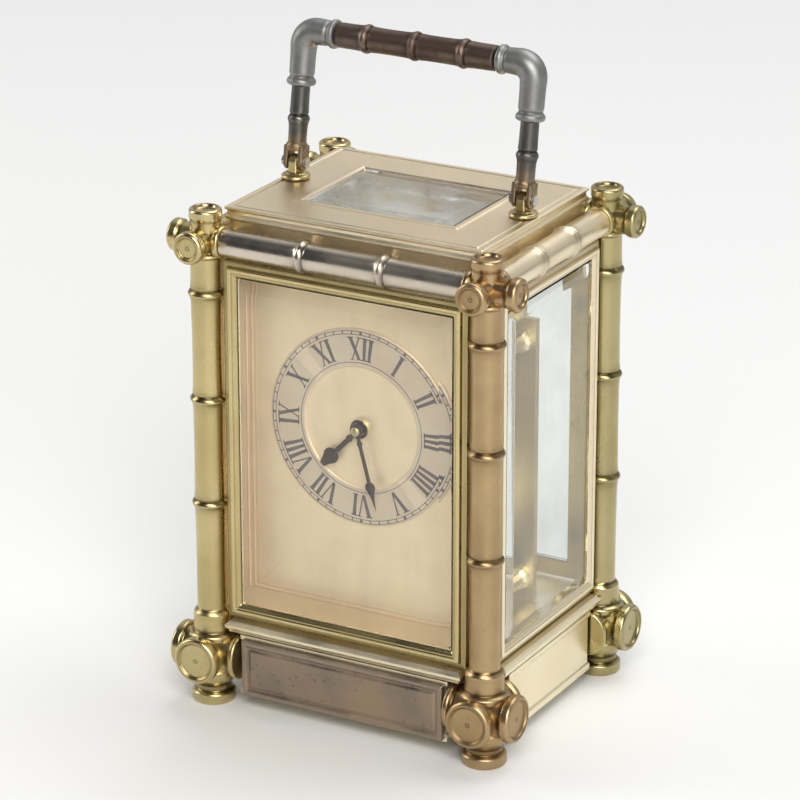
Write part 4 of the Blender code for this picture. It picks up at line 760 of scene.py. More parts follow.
@dataclass
class CornerPillars:
    """The four bamboo corner pillars with their feet, knuckles, cut stubs and finials."""

    shaft_r: float = 4.2
    node_proud: float = 0.75
    node_shares: tuple[float, ...] = (0.10, 0.39, 0.68)
    foot_r: float = 5.9
    knuckle_z: float = 14.0
    knuckle_r: float = 5.6
    knuckle_ring: float = 6.45
    knuckle_half: float = 6.6
    frieze_r: float = 3.8
    frieze_ring: float = 4.35
    stub_reach: float = 10.0
    low_inward: float = 9.4
    high_inward: float = 5.6

    def __post_init__(self) -> None:
        """Heights that come from the case."""
        self.floor_z = box_mm("floor_plate")[1][2]
        self.frieze_z = middle_mm("frieze_cane_front")[2]
        self.top_z = box_mm("pillar_front_left")[1][2]
        self.shaft_top = self.frieze_z - 4.3

    def column(self) -> Surface:
        """Foot, fat knuckle, cane shaft and finial with a hollow cut end."""
        low = self.knuckle_z - self.knuckle_half
        high = self.knuckle_z + self.knuckle_half
        foot = rounded([(0, 0), (self.foot_r - 0.3, 0), (self.foot_r, 0.6), (self.foot_r, 2.8),
                        (self.foot_r - 1.1, 3.6),
                        (self.foot_r - 1.1, 5.0), (self.knuckle_ring - 0.3, low - 0.4),
                        (self.knuckle_ring, low + 0.6),
                        (self.knuckle_ring, low + 2.0), (self.knuckle_r + 0.1, low + 2.8),
                        (self.knuckle_r + 0.1, high - 3.0),
                        (self.knuckle_ring, high - 2.2), (self.knuckle_ring, high - 0.9), (5.3, high),
                        (5.1, self.floor_z + 0.2),
                        (5.1, self.floor_z + 1.0), (self.shaft_r + 0.1, self.floor_z + 2.0)], 0.2, 0.35)
        along = np.arange(self.floor_z + 2.3, self.shaft_top - 0.2, 0.22)
        nodes = self.shaft_top - np.array(self.node_shares) * (self.shaft_top - self.floor_z)
        shaft = np.stack([cane_radius(along, self.shaft_r, nodes, self.node_proud), along], -1)
        top = self.top_z
        finial = rounded([(self.shaft_r, self.shaft_top), (self.shaft_r + 0.7, self.shaft_top + 0.3),
                          (self.shaft_r + 0.7, self.shaft_top + 0.9),
                          (self.shaft_r - 0.1, self.shaft_top + 1.6),
                          (self.shaft_r - 0.1, top - 2.9), (self.shaft_r + 0.15, top - 2.3),
                          (self.shaft_r + 0.15, top - 0.5),
                          (self.shaft_r - 0.35, top), (self.shaft_r - 1.1, top),
                          (self.shaft_r - 1.5, top - 0.8), (0, top - 0.7)],
                         0.2, 0.25)
        # painted shade and tarnish: concave places of the foot and finial, and the grooves at the shaft's
        # nodes
        tarnish = np.concatenate([concave_shade_and_tarnish(foot), cane_shade_and_tarnish(along, nodes), concave_shade_and_tarnish(finial)])
        return revolved(np.concatenate([foot, shaft, finial]), 44, wobble=0.006, tarnish=tarnish)

    def stub(self, reach: float, inward: float, radius: float, ring: float) -> Surface:
        """Cut piece of cane along +X, ringed at both ends, with a hollow outer end."""
        profile = [(0, -inward), (ring - 0.3, -inward), (ring, 0.3 - inward), (ring, 1.3 - inward),
                   (radius, 2.1 - inward),
                   (radius - 0.1, (reach - inward) / 2), (radius, reach - 3.2), (ring, reach - 2.5),
                   (ring, reach - 0.7),
                   (ring - 0.5, reach - 0.1), (ring - 1.3, reach), (ring - 1.75, reach - 0.75),
                   (0, reach - 0.6)]
        return revolved(rounded(profile, 0.2, 0.28), 40).turned("Y", math.pi / 2)

    def build(self) -> None:
        """Makes one piece for each corner."""
        for corner, sx, sy in (("front_left", -1, -1), ("front_right", 1, -1), ("back_left", -1, 1),
                               ("back_right", 1, 1)):
            parts = [self.column()]
            for z, reach, inward, radius, ring in (
                    (self.knuckle_z, self.stub_reach, self.low_inward, self.knuckle_r, self.knuckle_ring),
                    (self.frieze_z, self.stub_reach - 0.2, self.high_inward, self.frieze_r,
                     self.frieze_ring)):
                bar = self.stub(reach, inward, radius, ring)
                parts.append(bar.mirrored(sx=sx).moved((0, 0, z)))
                parts.append(bar.turned("Z", sy * math.pi / 2).moved((0, 0, z)))
            finish = {"front_right": WARM_BRASS, "back_right": OLIVE_BRASS}.get(corner, BRASS)
            make_piece(f"bamboo_{corner}", joined(parts).moved(foot_at(corner)), finish, "case",
                       [f"pillar_{corner}"])


@dataclass
class FriezeCanes:
    """The four canes that run between the pillars' heads."""

    proud: float = 0.6

    def build(self) -> None:
        """Makes each cane along its own box, with nodes at a sixth of its length each side of the middle."""
        for name in ("front", "back", "left", "right"):
            node = f"frieze_cane_{name}"
            low, high = box_mm(node)
            axis = 0 if name in ("front", "back") else 1
            length = (high - low)[axis]
            along = np.arange(-length / 2, length / 2 + 0.1, 0.22)
            nodes = np.array([-length / 6, length / 6])
            radius = cane_radius(along, 3.8, nodes, self.proud)
            # painted shade and tarnish in the grooves at the nodes
            bar = revolved(np.stack([radius, along], -1), 40, 0.008, cane_shade_and_tarnish(along, nodes))
            bar = bar.turned("Y", math.pi / 2)
            if axis == 1:
                bar = bar.turned("Z", math.pi / 2)
            # painted reflection: the front cane takes the grey brass for the dark reflection across it, and
            # the right cane the paler brass for the bright floor it reflects
            finish = PAINTED_REFLECTION_BRASS if name == "front" else PAINTED_LIGHT_BRASS if name == "right" else BRASS
            make_piece(f"cane_rail_{name}", bar.moved((low + high) / 2), finish, "case", [node])


# ---- base and walls ------------------------------------------------------------------------
@dataclass
class Base:
    """Plinth, the dark panel on its front, and the moulded floor plate that makes the sill."""

    notch_low: float = 9.8
    notch_high: float = 5.5

    def build(self) -> None:
        """Makes the three pieces from their boxes."""
        feet = foot_at("back_right")
        low, high = box_mm("plinth_frame")
        z0, z1 = low[2], high[2]
        profile = rounded([(0.6, z0), (0, z0 + 0.5), (0, z0 + 2.2), (0.5, z0 + 2.7), (0.5, z1 - 1.8),
                           (0, z1 - 1.3), (0, z1)],
                          0.25, 0.2)
        plinth = stacked_cross((high[0], high[1]), (feet[0] - self.notch_low, feet[1] - self.notch_low),
                               profile,
                               inner=(27.0, 19.5))
        # painted reflection: the plinth's walls take the paler brass for the bright table that the side wall
        # reflects
        make_piece("plinth_walls", plinth, PAINTED_LIGHT_BRASS, "case", ["plinth_frame"])

        low, high = box_mm("floor_plate")
        z0, z1 = low[2], high[2]
        profile = rounded([(1.6, z0), (1.0, z0 + 0.1), (0.8, z0 + 0.8), (0.15, z0 + 1.3), (0, z0 + 1.9),
                           (0.1, z0 + 2.4),
                           (0.7, z1 - 0.5), (0.9, z1)], 0.15, 0.15)
        sill = stacked_cross((high[0], high[1]), (feet[0] - self.notch_high, feet[1] - self.notch_high),
                             profile)
        # painted light: the sill takes the paler brass to brighten faces that otherwise sit dark in shade
        make_piece("moulded_sill", sill, PAINTED_LIGHT_BRASS, "case", ["floor_plate"])

        low, high = box_mm("plinth_front_panel")
        half_x, half_z, thick = (high[0] - low[0]) / 2, (high[2] - low[2]) / 2, high[1] - low[1]
        profile = rounded([(0, 0), (0, thick - 0.3), (0.3, thick), (1.3, thick), (1.8, thick - 0.45),
                           (2.2, thick - 0.45),
                           (2.9, thick - 0.1), (5.5, thick - 0.05)], 0.12, 0.14)
        panel = facing_front(stacked_panel(half_x, half_z, profile))
        # painted reflection: the front panel takes the dark colour for the dark surroundings it reflects
        make_piece("dark_front_panel", panel.moved((0, high[1], (low[2] + high[2]) / 2)), PAINTED_DARK_REFLECTION_BRASS, "case",
                   ["plinth_front_panel"])


@dataclass
class GlazedWalls:
    """Moulded frames at the front and the sides, each with its bevelled pane."""

    width: float = 4.2

    def frame_profile(self, width: float, thick: float) -> np.ndarray:
        """Section of a frame: flat back, square outer edge, a flat, and a rounded step down to the glass.

        Args:
            width: from the outer edge to the glass opening.
            thick: front to back.

        Returns:
            The closed section.
        """
        half = thick / 2
        return rounded([(0, -half), (0, half - 1.3), (0.2, half - 1.1), (width * 0.34, half - 1.0),
                        (width * 0.4, half - 0.2),
                        (width * 0.45, half), (width * 0.66, half), (width * 0.7, half - 0.35),
                        (width * 0.78, half - 0.25),
                        (width * 0.9, half - 0.6), (width, half - 1.1), (width, -half)], 0.14, 0.13)

    def frame(self, low: np.ndarray, high: np.ndarray, wide_axis: int, thick_axis: int,
              width: float) -> Surface:
        """Frame that fills a box, standing up with its face at -Y, about the box's middle.

        Args:
            low: the box's lowest corner.
            high: its highest corner.
            wide_axis: the box's axis across the frame.
            thick_axis: the box's axis through the frame.
            width: from the outer edge to the glass.

        Returns:
            The frame, with painted shade in the recess along its outer edge.
        """
        size = high - low
        profile = self.frame_profile(width, size[thick_axis])
        # painted shade: the recess along the outer edge is darkened, for the shade that falls into it
        recess = 0.6 * np.clip(1.15 - profile[:, 0] / (width * 0.36), 0, 1) ** 0.5
        return facing_front(moulded_frame(size[wide_axis] / 2, size[2] / 2, profile, tarnish=recess))

    def build(self) -> None:
        """Makes the frames and their panes."""
        low, high = box_mm("front_frame")
        shape = self.frame(low, high, 0, 1, self.width).moved((low + high) / 2)
        make_piece("front_door_moulding", shape, BRASS, "case", ["front_frame"])
        for name, sx in (("left", -1), ("right", 1)):
            low, high = box_mm(f"side_frame_{name}")
            shape = self.frame(low, high, 1, 0, self.width).turned("Z", sx * math.pi / 2)
            shape = shape.moved((low + high) / 2)
            # painted light: the side mouldings take the paler brass, lighter than the front moulding's, for
            # the bright sides of the case
            make_piece(f"side_moulding_{name}", shape, PAINTED_LIGHT_BRASS, "case", [f"side_frame_{name}"])
        bevelled_pane("front_glass", "front_pane", "case", 0.7)
        bevelled_pane("side_glass_left", "left_pane", "case")
        bevelled_pane("side_glass_right", "right_pane", "case")


def bevelled_pane(node: str, name: str, body: str, drop: float = 0.48, finish: Glass = PANE) -> None:
    """Pane that fills a CAD pane's box, its bevels on the side that faces out of the case.

    Args:
        node: the CAD pane.
        name: the new piece's name.
        body: the body it moves with.
        drop: how far the bevel falls from the flat to the pane's edge, in mm.
        finish: the glass.
    """
    low, high = box_mm(node)
    middle, size = (low + high) / 2, high - low
    thin = int(np.argmin(size))
    across = size[1 if thin == 0 else 0] / 2
    up = size[1 if thin == 2 else 2] / 2
    half = size[thin] / 2
    bevel = 3.4
    profile = rounded([(0, -half), (0, half - drop - 0.07), (0.15, half - drop), (bevel, half),
                       (6.0, half)], 0.1, 0.12)
    pane = stacked_panel(across, up, profile, corner=0.25)
    if thin < 2:
        pane = facing_front(pane)
        # a front pane stays as it is, a rear one turns right round and a side one turns to its side
        if thin == 1:
            turn = math.pi if middle[1] > 0 else 0
        else:
            turn = math.pi / 2 if middle[0] > 0 else 1.5 * math.pi
        pane = pane.turned("Z", turn)
    make_piece(name, pane.moved(middle), finish, body, [node], sharp_deg=3.0)


@dataclass
class RearDoor:
    """Glazed rear door with its knob and hinge rod."""

    stile: float = 4.6

    def build(self) -> None:
        """Makes the door's frame, knob and pane and finishes its rod."""
        low, high = box_mm("rear_door_frame")
        shape = GlazedWalls().frame(low, high, 0, 1, self.stile).turned("Z", math.pi).moved((low + high) / 2)
        make_piece("rear_door_moulding", shape, BRASS, "rear_door", ["rear_door_frame"])
        low, high = box_mm("door_knob")
        profile = rounded([(0, 0), (2.3, 0), (2.3, 0.6), (1.2, 1.0), (1.05, 2.4), (2.2, 3.0), (2.6, 3.9),
                           (2.3, 5.0),
                           (1.3, 5.55), (0, 5.6)], 0.12, 0.15)
        knob = revolved(profile, 36).turned("X", -math.pi / 2)
        middle = (low + high) / 2
        make_piece("thumb_knob", knob.moved((middle[0], low[1], middle[2])), BRASS, "rear_door",
                   ["door_knob"])
        bevelled_pane("rear_door_glass", "rear_pane", "rear_door")
        refinish("door_hinge_rod", STEEL)


@dataclass
class TopDeck:
    """Top plate round the window over the escapement, with the wall under it."""

    slab: float = 4.0
    overhang: float = 1.2

    def build(self) -> None:
        """Makes the plate as a moulding from the outer edge to the window, and its pane."""
        low, high = box_mm("top_plate")
        pane_high = box_mm("top_glass")[1]
        reach = high[:2] - pane_high[:2] - 0.2
        top, under = high[2] - 0.3, high[2] - self.slab
        edge = self.overhang
        profile = rounded([(edge, low[2]), (edge, under), (0.5, under + 0.1), (0.1, under + 0.6),
                           (0.1, under + 1.1),
                           (0.6, under + 1.6), (0.6, top - 1.0), (0, top - 0.6), (0, top - 0.2), (0.3, top),
                           (1.6, top), (1.85, top - 0.3), (2.25, top - 0.3), (2.5, top),
                           (reach[0] - 2.3, top),
                           (reach[0] - 1.9, top + 0.3), (reach[0] - 0.5, top + 0.3), (reach[0], top - 0.2),
                           (reach[0], under), (edge + 2.4, under), (edge + 2.4, low[2])], 0.16, 0.12)
        # the plate is wider at its sides than at its front, so depths along Y are scaled to the narrower one
        flat = corner_points(high[0] - profile[:, 0], high[1] - profile[:, 0] * reach[1] / reach[0], 0.3)
        height = np.broadcast_to(profile[:, 1][:, None, None], (*flat.shape[:2], 1))
        plate = skinned(np.concatenate([flat, height], -1), closed=True)
        make_piece("top_deck", plate, PLATE_BRASS, "case", ["top_plate"])
        bevelled_pane("top_glass", "top_pane", "case", 0.1, HAZY_PANE)


# ---- handle --------------------------------------------------------------------------------
@dataclass
class BailHandle:
    """Folding bail: turned posts with lugs, forked legs, thick elbows and a cane grip."""

    leg_r: float = 2.5
    leg_top: float = 20.0
    elbow_r: float = 3.6
    bend: float = 4.2
    grip_half: float = 23.2
    grip_r: float = 3.4
    lug_half: float = 1.2
    play: float = 0.35
    cheek: float = 1.2
    eye_r: float = 2.2

    def __post_init__(self) -> None:
        """Pivot, lean, height and span, from the joint and from where the grip and the posts are."""
        self.pivot = joint_at("handle_swing")
        offset = middle_mm("handle_grip") - self.pivot
        self.lean = math.atan2(offset[1], offset[2])
        self.rise = math.hypot(offset[1], offset[2])
        self.half_span = middle_mm("handle_post_right")[0]

    def leaning(self, surface: Surface) -> Surface:
        """A bail piece moved from upright about the origin to its place on the clock."""
        return surface.turned("X", -self.lean).moved(self.pivot)

    def tongue(self, half: float, radius: float, height: float) -> Surface:
        """Flat tongue square to X: round about the pivot, straight-sided to a height, edges softened."""
        angle = np.linspace(math.pi, math.tau, 17)
        side = np.linspace(0, height, 9)[1:]
        y = np.concatenate([radius * np.cos(angle), np.full(8, radius), np.full(8, -radius)])
        z = np.concatenate([radius * np.sin(angle), side, side[::-1]])
        outline = np.stack([y, z], -1)
        centre = np.array([0, height / 2 - radius / 2])
        soft = 0.25
        depths = np.array([-half, soft - half, half - soft, half])[:, None, None]
        scales = np.array([1 - soft / radius, 1, 1, 1 - soft / radius])[:, None, None]
        rings = centre + (outline - centre) * scales
        return skinned(np.concatenate([np.broadcast_to(depths, (*rings.shape[:2], 1)), rings], -1))

    def post(self) -> Surface:
        """Turned foot with a lug on top, about the pivot."""
        base = box_mm("top_plate")[1][2] + 0.1 - self.pivot[2]
        foot = revolved(rounded([(0, base), (3.8, base), (3.85, base + 0.5), (3.6, base + 0.8),
                                 (3.0, base + 1.0),
                                 (2.5, base + 1.5), (0, base + 1.55)], 0.12, 0.14), 36)
        lug = self.tongue(self.lug_half, self.eye_r - 0.1, -base - 0.9)
        lug.points[:, 2] *= -1
        return joined([foot, lug])

    def leg(self) -> Surface:
        """Leg: two cheeks beside the lug, and a slim cane with one node that fills the top of the fork."""
        inner = self.lug_half + self.play
        cheek = self.tongue(self.cheek / 2, self.eye_r, 4.4)
        cheeks = [cheek.moved((sx * (inner + self.cheek / 2), 0, 0)) for sx in (-1, 1)]
        along = np.arange(3.4, self.leg_top + 0.05, 0.2)
        radius = cane_radius(along, self.leg_r, np.array([11.3]), 0.45)
        radius = np.where(along < 4.2, radius - 0.3 * (4.2 - along) / 0.8, radius)
        yoke = rounded([(0, 3.0), (2.6, 3.0), (2.95, 3.6), (2.95, 4.4), (2.5, 5.2), (0, 5.3)], 0.12, 0.2)
        return joined([*cheeks, revolved(yoke, 32), revolved(np.stack([radius, along], -1), 32)])

    def elbow(self) -> Surface:
        """Thick corner of the left side: up the leg's axis, a quarter bend, and in to the grip."""
        run = self.half_span - self.grip_half - 0.2
        up = np.arange(self.leg_top + 0.2, self.rise - self.bend, 0.25)
        turn = np.linspace(0, math.pi / 2, 22)[1:]
        across = np.arange(self.bend + 0.25, run, 0.25)
        path = np.concatenate([
            np.stack([0 * up, up], -1),
            np.stack([self.bend * (1 - np.cos(turn)), self.rise - self.bend + self.bend * np.sin(turn)], -1),
            np.stack([across, 0 * across + self.rise], -1)])
        steps = np.linalg.norm(np.diff(path, axis=0), axis=1)
        along = np.concatenate([[0], np.cumsum(steps)])
        end = along[-1]
        corner = np.exp(-((along - (self.rise - self.bend - self.leg_top + 3.2)) / 4.0) ** 2)
        ridge = np.exp(-((along - 1.0) / 0.8) ** 4) + np.exp(-((along - end + 0.9) / 0.8) ** 4)
        groove = np.exp(-((along - 2.5) / 0.35) ** 2) + np.exp(-((along - end + 2.3) / 0.35) ** 2)
        radius = self.elbow_r - 0.25 + 0.35 * corner + 0.5 * ridge - 0.3 * groove
        radius[[0, -1]] -= 0.35
        return piped(path, radius, 36)

    def build(self) -> None:
        """Makes both sides and the grip."""
        for name, sx in (("left", -1), ("right", 1)):
            x = sx * self.half_span
            make_piece(f"handle_foot_{name}", self.post().moved(self.pivot + (x, 0, 0)), BRASS, "case",
                       [f"handle_post_{name}"])
            make_piece(f"handle_side_{name}", self.leaning(self.leg().moved((x, 0, 0))), LEG_NICKEL, "handle",
                       [f"handle_leg_{name}"])
            corner = self.elbow() if sx < 0 else self.elbow().mirrored(sx=-1)
            make_piece(f"handle_corner_{name}", self.leaning(corner.moved((x, 0, 0))), NICKEL, "handle",
                       [f"handle_elbow_{name}"])
            refinish(f"handle_pin_{name}", STEEL)
        along = np.arange(-self.grip_half + 0.2, self.grip_half - 0.1, 0.22)
        nodes = np.array([-14.8, -0.6, 13.6])
        radius = cane_radius(along, self.grip_r, nodes, 0.5)
        radius[[0, 1, -2, -1]] -= 0.2
        grip = revolved(np.stack([radius, along], -1), 40, wobble=0.012).turned("Y", math.pi / 2)
        make_piece("cane_grip", self.leaning(grip.moved((0, 0, self.rise))), CANE_BROWN, "handle",
                   ["handle_grip"])


# ---- dial and hands ------------------------------------------------------------------------
class Numeral(Enum):
    """Hour numerals, as the strokes' letters."""

    ONE = "I"
    TWO = "II"
    THREE = "III"
    FOUR = "IIII"
    FIVE = "V"
    SIX = "VI"
    SEVEN = "VII"
    EIGHT = "VIII"
    NINE = "IX"
    TEN = "X"
    ELEVEN = "XI"
    TWELVE = "XII"


@dataclass
class Dial:
    """Dial plate, chapter ring with painted numerals and minute track, and the two spade hands."""

    time_hour: float = 7.0
    time_minute: float = 27.5
    ring_out: float = 27.0
    ring_in: float = 16.6
    ring_thick: float = 0.5
    numeral_low: float = 18.6
    numeral_high: float = 24.8
    track: float = 25.5
    thick_stroke: float = 1.05
    thin_stroke: float = 0.42
    ink_depth: float = 0.06

    def __post_init__(self) -> None:
        """Centre from the hands' joint, faces from the CAD boxes."""
        self.centre = joint_at("minute_hand_turn")
        self.ring_face = box_mm("chapter_ring")[0][1]
        self.mask_low, self.mask_high = box_mm("dial_mask")

    def bars(self, corners: np.ndarray, depth: float) -> Surface:
        """Flat prisms on four-cornered outlines.

        Args:
            corners: (bars, 4, 2) in order round each bar, in the dial's plane.
            depth: thickness towards +Z.

        Returns:
            One surface with a six-sided box for each bar.
        """
        count = len(corners)
        low = np.concatenate([corners, np.zeros((count, 4, 1))], -1)
        high = np.concatenate([corners, np.full((count, 4, 1), depth)], -1)
        points = np.concatenate([low, high], 1).reshape(-1, 3)
        box = np.array([(3, 2, 1, 0), (4, 5, 6, 7), (0, 1, 5, 4), (1, 2, 6, 5), (2, 3, 7, 6), (3, 0, 4, 7)])
        quads = (box[None] + 8 * np.arange(count)[:, None, None]).reshape(-1, 4)
        return Surface(points, quads)

    def stroke(self, foot: float, head: float, width: float) -> list[np.ndarray]:
        """One stroke from the foot line to the head line with a thin serif at each end.

        Args:
            foot: its place across, on the foot line.
            head: its place across, on the head line.
            width: its thickness.

        Returns:
            Outlines of the stroke and its serifs, as (across, up) with up from 0 to 1.
        """
        half, serif = width / 2, width / 2 + 0.42
        tall = self.numeral_high - self.numeral_low
        lip = 0.28 / tall
        main = np.array([(foot - half, 0), (foot + half, 0), (head + half, 1), (head - half, 1)])
        low = np.array([(foot - serif, 0), (foot + serif, 0), (foot + serif, lip), (foot - serif, lip)])
        high = np.array([(head - serif, 1 - lip), (head + serif, 1 - lip), (head + serif, 1),
                         (head - serif, 1)])
        return [main, low, high]

    def letter(self, kind: str, at: float) -> tuple[list[np.ndarray], float]:
        """Outlines of I, V or X starting at a place across, and the width it takes."""
        if kind == "I":
            return self.stroke(at + 0.95, at + 0.95, self.thick_stroke), 1.9
        if kind == "V":
            low, wide = at + 2.2, 3.0
            return self.stroke(low, low - wide / 2, self.thick_stroke)[::2] \
                + self.stroke(low + 0.2, low + wide / 2, self.thin_stroke)[::2], 4.3
        falling = self.stroke(at + 3.6, at + 0.9, self.thick_stroke)
        return falling + self.stroke(at + 0.8, at + 3.6, self.thin_stroke), 4.4

    def numerals(self) -> Surface:
        """Twelve numerals with their feet to the centre: across becomes a distance along the tangent, and
        up becomes a radius between the foot and head circles."""
        outlines = []
        for hour, numeral in enumerate(Numeral, start=1):
            letters, at = [], 0.0
            for kind in numeral.value:
                strokes, width = self.letter(kind, at)
                letters += strokes
                at += width
            word = np.array(letters) - (at / 2, 0)
            radius = self.numeral_low + word[..., 1] * (self.numeral_high - self.numeral_low)
            spread = radius / self.numeral_high
            angle = math.pi / 2 - math.tau * hour / 12 - word[..., 0] * spread / radius
            outlines.append(np.stack([radius * np.cos(angle), radius * np.sin(angle)], -1))
        return self.bars(np.concatenate(outlines), self.ink_depth)

    def minute_track(self) -> Surface:
        """Sixty bars between two fine circles outside the numerals, every fifth one broader."""
        angle = math.pi / 2 - math.tau * np.arange(60) / 60
        half = np.where(np.arange(60) % 5 == 0, 0.36, 0.15)
        inner, outer = self.track, self.track + 0.9
        direction = np.stack([np.cos(angle), np.sin(angle)], -1)
        aside = np.stack([-np.sin(angle), np.cos(angle)], -1) * half[:, None]
        corners = np.stack([direction * inner - aside, direction * outer - aside,
                            direction * outer + aside, direction * inner + aside], 1)
        lines = [self.circle_line(radius) for radius in (inner, outer, self.numeral_low - 0.7)]
        return joined([self.bars(corners, self.ink_depth), *lines])

    def circle_line(self, radius: float, width: float = 0.16) -> Surface:
        """Fine flat circle: a small rectangle carried round the centre."""
        profile = np.array([(radius - width / 2, 0), (radius + width / 2, 0),
                            (radius + width / 2, self.ink_depth),
                            (radius - width / 2, self.ink_depth)])
        return swept_round(profile)

    def plate(self) -> Surface:
        """Dial plate with softened edges and a fine raised line near them."""
        half_x = (self.mask_high - self.mask_low)[0] / 2
        half_z = (self.mask_high - self.mask_low)[2] / 2
        profile = rounded([(0, 0), (0, 0.9), (0.1, 1.0), (5.4, 1.0), (5.6, 1.12), (5.9, 1.12), (6.1, 1.0),
                           (6.7, 1.0),
                           (6.85, 1.07), (7.0, 1.07), (7.15, 1.0), (12, 1.0)], 0.1, 0.08)
        return stacked_panel(half_x, half_z, profile)

    def chapter_ring(self) -> Surface:
        """Thin ring with softened edges, carried round the dial's centre."""
        thick = self.ring_thick
        profile = rounded([(self.ring_in, 0), (self.ring_in, thick - 0.1), (self.ring_in + 0.15, thick),
                           (self.ring_out - 0.15, thick), (self.ring_out, thick - 0.1), (self.ring_out, 0)],
                           0.3, 0.15)
        return swept_round(profile)

    def hand(self, length: float, eye: float, stem: float, leaf_at: float, leaf: float) -> Surface:
        """Spade hand pointing up: at each place along it the section is a flat ellipse as wide as the hand is
        there. The width follows the round eye, a slim stem, a round leaf and a fine tip.

        Args:
            length: from the centre to the tip.
            eye: radius round the centre.
            stem: half width of the stem.
            leaf_at: distance of the leaf's middle.
            leaf: radius of the leaf.

        Returns:
            The hand in the dial's plane.
        """
        along = np.concatenate([np.linspace(-eye, eye, 24), np.linspace(eye, length, 110)[1:]])
        disc = np.sqrt(np.clip(eye ** 2 - along ** 2, 0, None))
        blob = np.sqrt(np.clip(leaf ** 2 - (along - leaf_at) ** 2, 0, None))
        point = np.interp(along, [leaf_at, leaf_at + leaf, leaf_at + leaf * 2.1, length],
                          [leaf, leaf * 0.62, stem * 0.8, 0.04])
        collar = stem + 0.35 * np.exp(-((along - eye - 1.6) / 0.45) ** 2)
        shank = np.where(along > 0, collar, 0) * (along < leaf_at)
        width = np.maximum.reduce([disc, blob, shank, np.where(along > leaf_at, point, 0),
                                   np.full_like(along, 0.02)])
        angle = np.linspace(0, math.tau, 20, endpoint=False)
        depth = 0.24 * np.clip(width / stem, 0, 1)
        rings = np.stack([width[:, None] * np.cos(angle), along[:, None] + 0 * angle,
                          depth[:, None] * np.sign(np.sin(angle)) * np.abs(np.sin(angle)) ** 0.7], -1)
        return skinned(rings)

    def set_in(self, surface: Surface, depth: float) -> Surface:
        """Stands a surface from the dial's plane up at the dial's centre, at a depth along Y."""
        return facing_front(surface).moved((self.centre[0], depth, self.centre[2]))

    def build(self) -> None:
        """Makes the plate, the ring, the painted marks and the hands."""
        middle_z = (self.mask_low + self.mask_high)[2] / 2
        front = self.mask_low[1]
        plate = facing_front(self.plate()).moved((0, front + 1.0, middle_z))
        make_piece("gilt_dial_plate", plate, GILT, "case", ["dial_mask"])
        ring = self.set_in(self.chapter_ring(), self.ring_face + self.ring_thick)
        make_piece("chapter_band", ring, SILVERED, "case", ["chapter_ring"])
        marks = self.set_in(joined([self.numerals(), self.minute_track()]), self.ring_face)
        make_piece("dial_numerals", marks, INK, "case")
        hour_angle = -math.tau * (self.time_hour + self.time_minute / 60) / 12
        minute_angle = -math.tau * self.time_minute / 60
        for node, angle, sizes in (("hour_hand", hour_angle, (16.0, 2.6, 0.66, 12.2, 2.2)),
                                   ("minute_hand", minute_angle, (22.0, 1.95, 0.55, 15.5, 1.5))):
            hand = self.set_in(self.hand(*sizes).turned("Z", angle), middle_mm(node)[1])
            make_piece(f"spade_{node}", hand, BLUED, f"{node}_group", [node])
        tip = box_mm("cannon_pinion")[0][1]
        nut = revolved(rounded([(0, 0), (1.25, 0), (1.25, 0.5), (0.9, 0.85), (0, 1.0)], 0.08, 0.12), 30)
        make_piece("hand_nut", self.set_in(nut, tip + 0.95), BRASS, "minute_hand_group")
        # the dial wheels share the movement's paled brass, with its painted light
        for node in ("hour_wheel", "cannon_pinion", "minute_wheel"):
            refinish(node, PAINTED_LIGHT_MOVEMENT)


# ---- movement ------------------------------------------------------------------------------
@dataclass
class Movement:
    """Plates, train and escapement seen through the glass, with their screws."""

    def build(self) -> None:
        """Finishes the kept nodes and adds screws."""
        posts = ("lower_left", "lower_right", "upper_left", "upper_right")
        for node in ("movement_front_plate", "movement_back_plate",
                     *(f"movement_post_{name}" for name in posts),
                     "mainspring_barrel", "intermediate_wheel", "centre_wheel", "third_wheel",
                     "contrate_wheel",
                     "escape_wheel"):
            # painted light: the movement's brass is paled so it reads light rather than shaded through the
            # glass
            refinish(node, PAINTED_LIGHT_MOVEMENT)
        for node in ("setting_arbor", "winding_arbor", "click", "pallet_lever", "mainspring"):
            refinish(node, STEEL)
        for node in ("platform", "balance_wheel", "balance_cock"):
            refinish(node, GILT)
        refinish("hairspring", BLUED)
        back = box_mm("movement_back_plate")[1][1]
        heads = []
        for turn, name in enumerate(posts):
            at = middle_mm(f"movement_post_{name}")
            head = screw(2.4, 1.2, 0.7 * turn).turned("X", -math.pi / 2)
            heads.append(head.moved((at[0], back + 0.05, at[2])))
        make_piece("back_plate_screws", joined(heads), STEEL, "case")
        deck_low, deck_high = box_mm("platform")
        heads = [screw(1.5, 0.8, 0.9 * k).moved((sx * (deck_high[0] - 2.6), y, deck_high[2] + 0.05))
                 for k, (sx, y) in enumerate(((-1, deck_low[1] + 2.8), (1, deck_low[1] + 2.8),
                                              (-1, deck_high[1] - 2.8), (1, deck_high[1] - 2.8)))]
        cock_low, cock_high = box_mm("balance_cock")
        cock_y = (cock_low + cock_high)[1] / 2
        heads.append(screw(1.4, 0.8, 0.4).moved((cock_high[0] - 2.5, cock_y, cock_high[2] + 0.05)))
        make_piece("platform_screws", joined(heads), BLUED, "case")


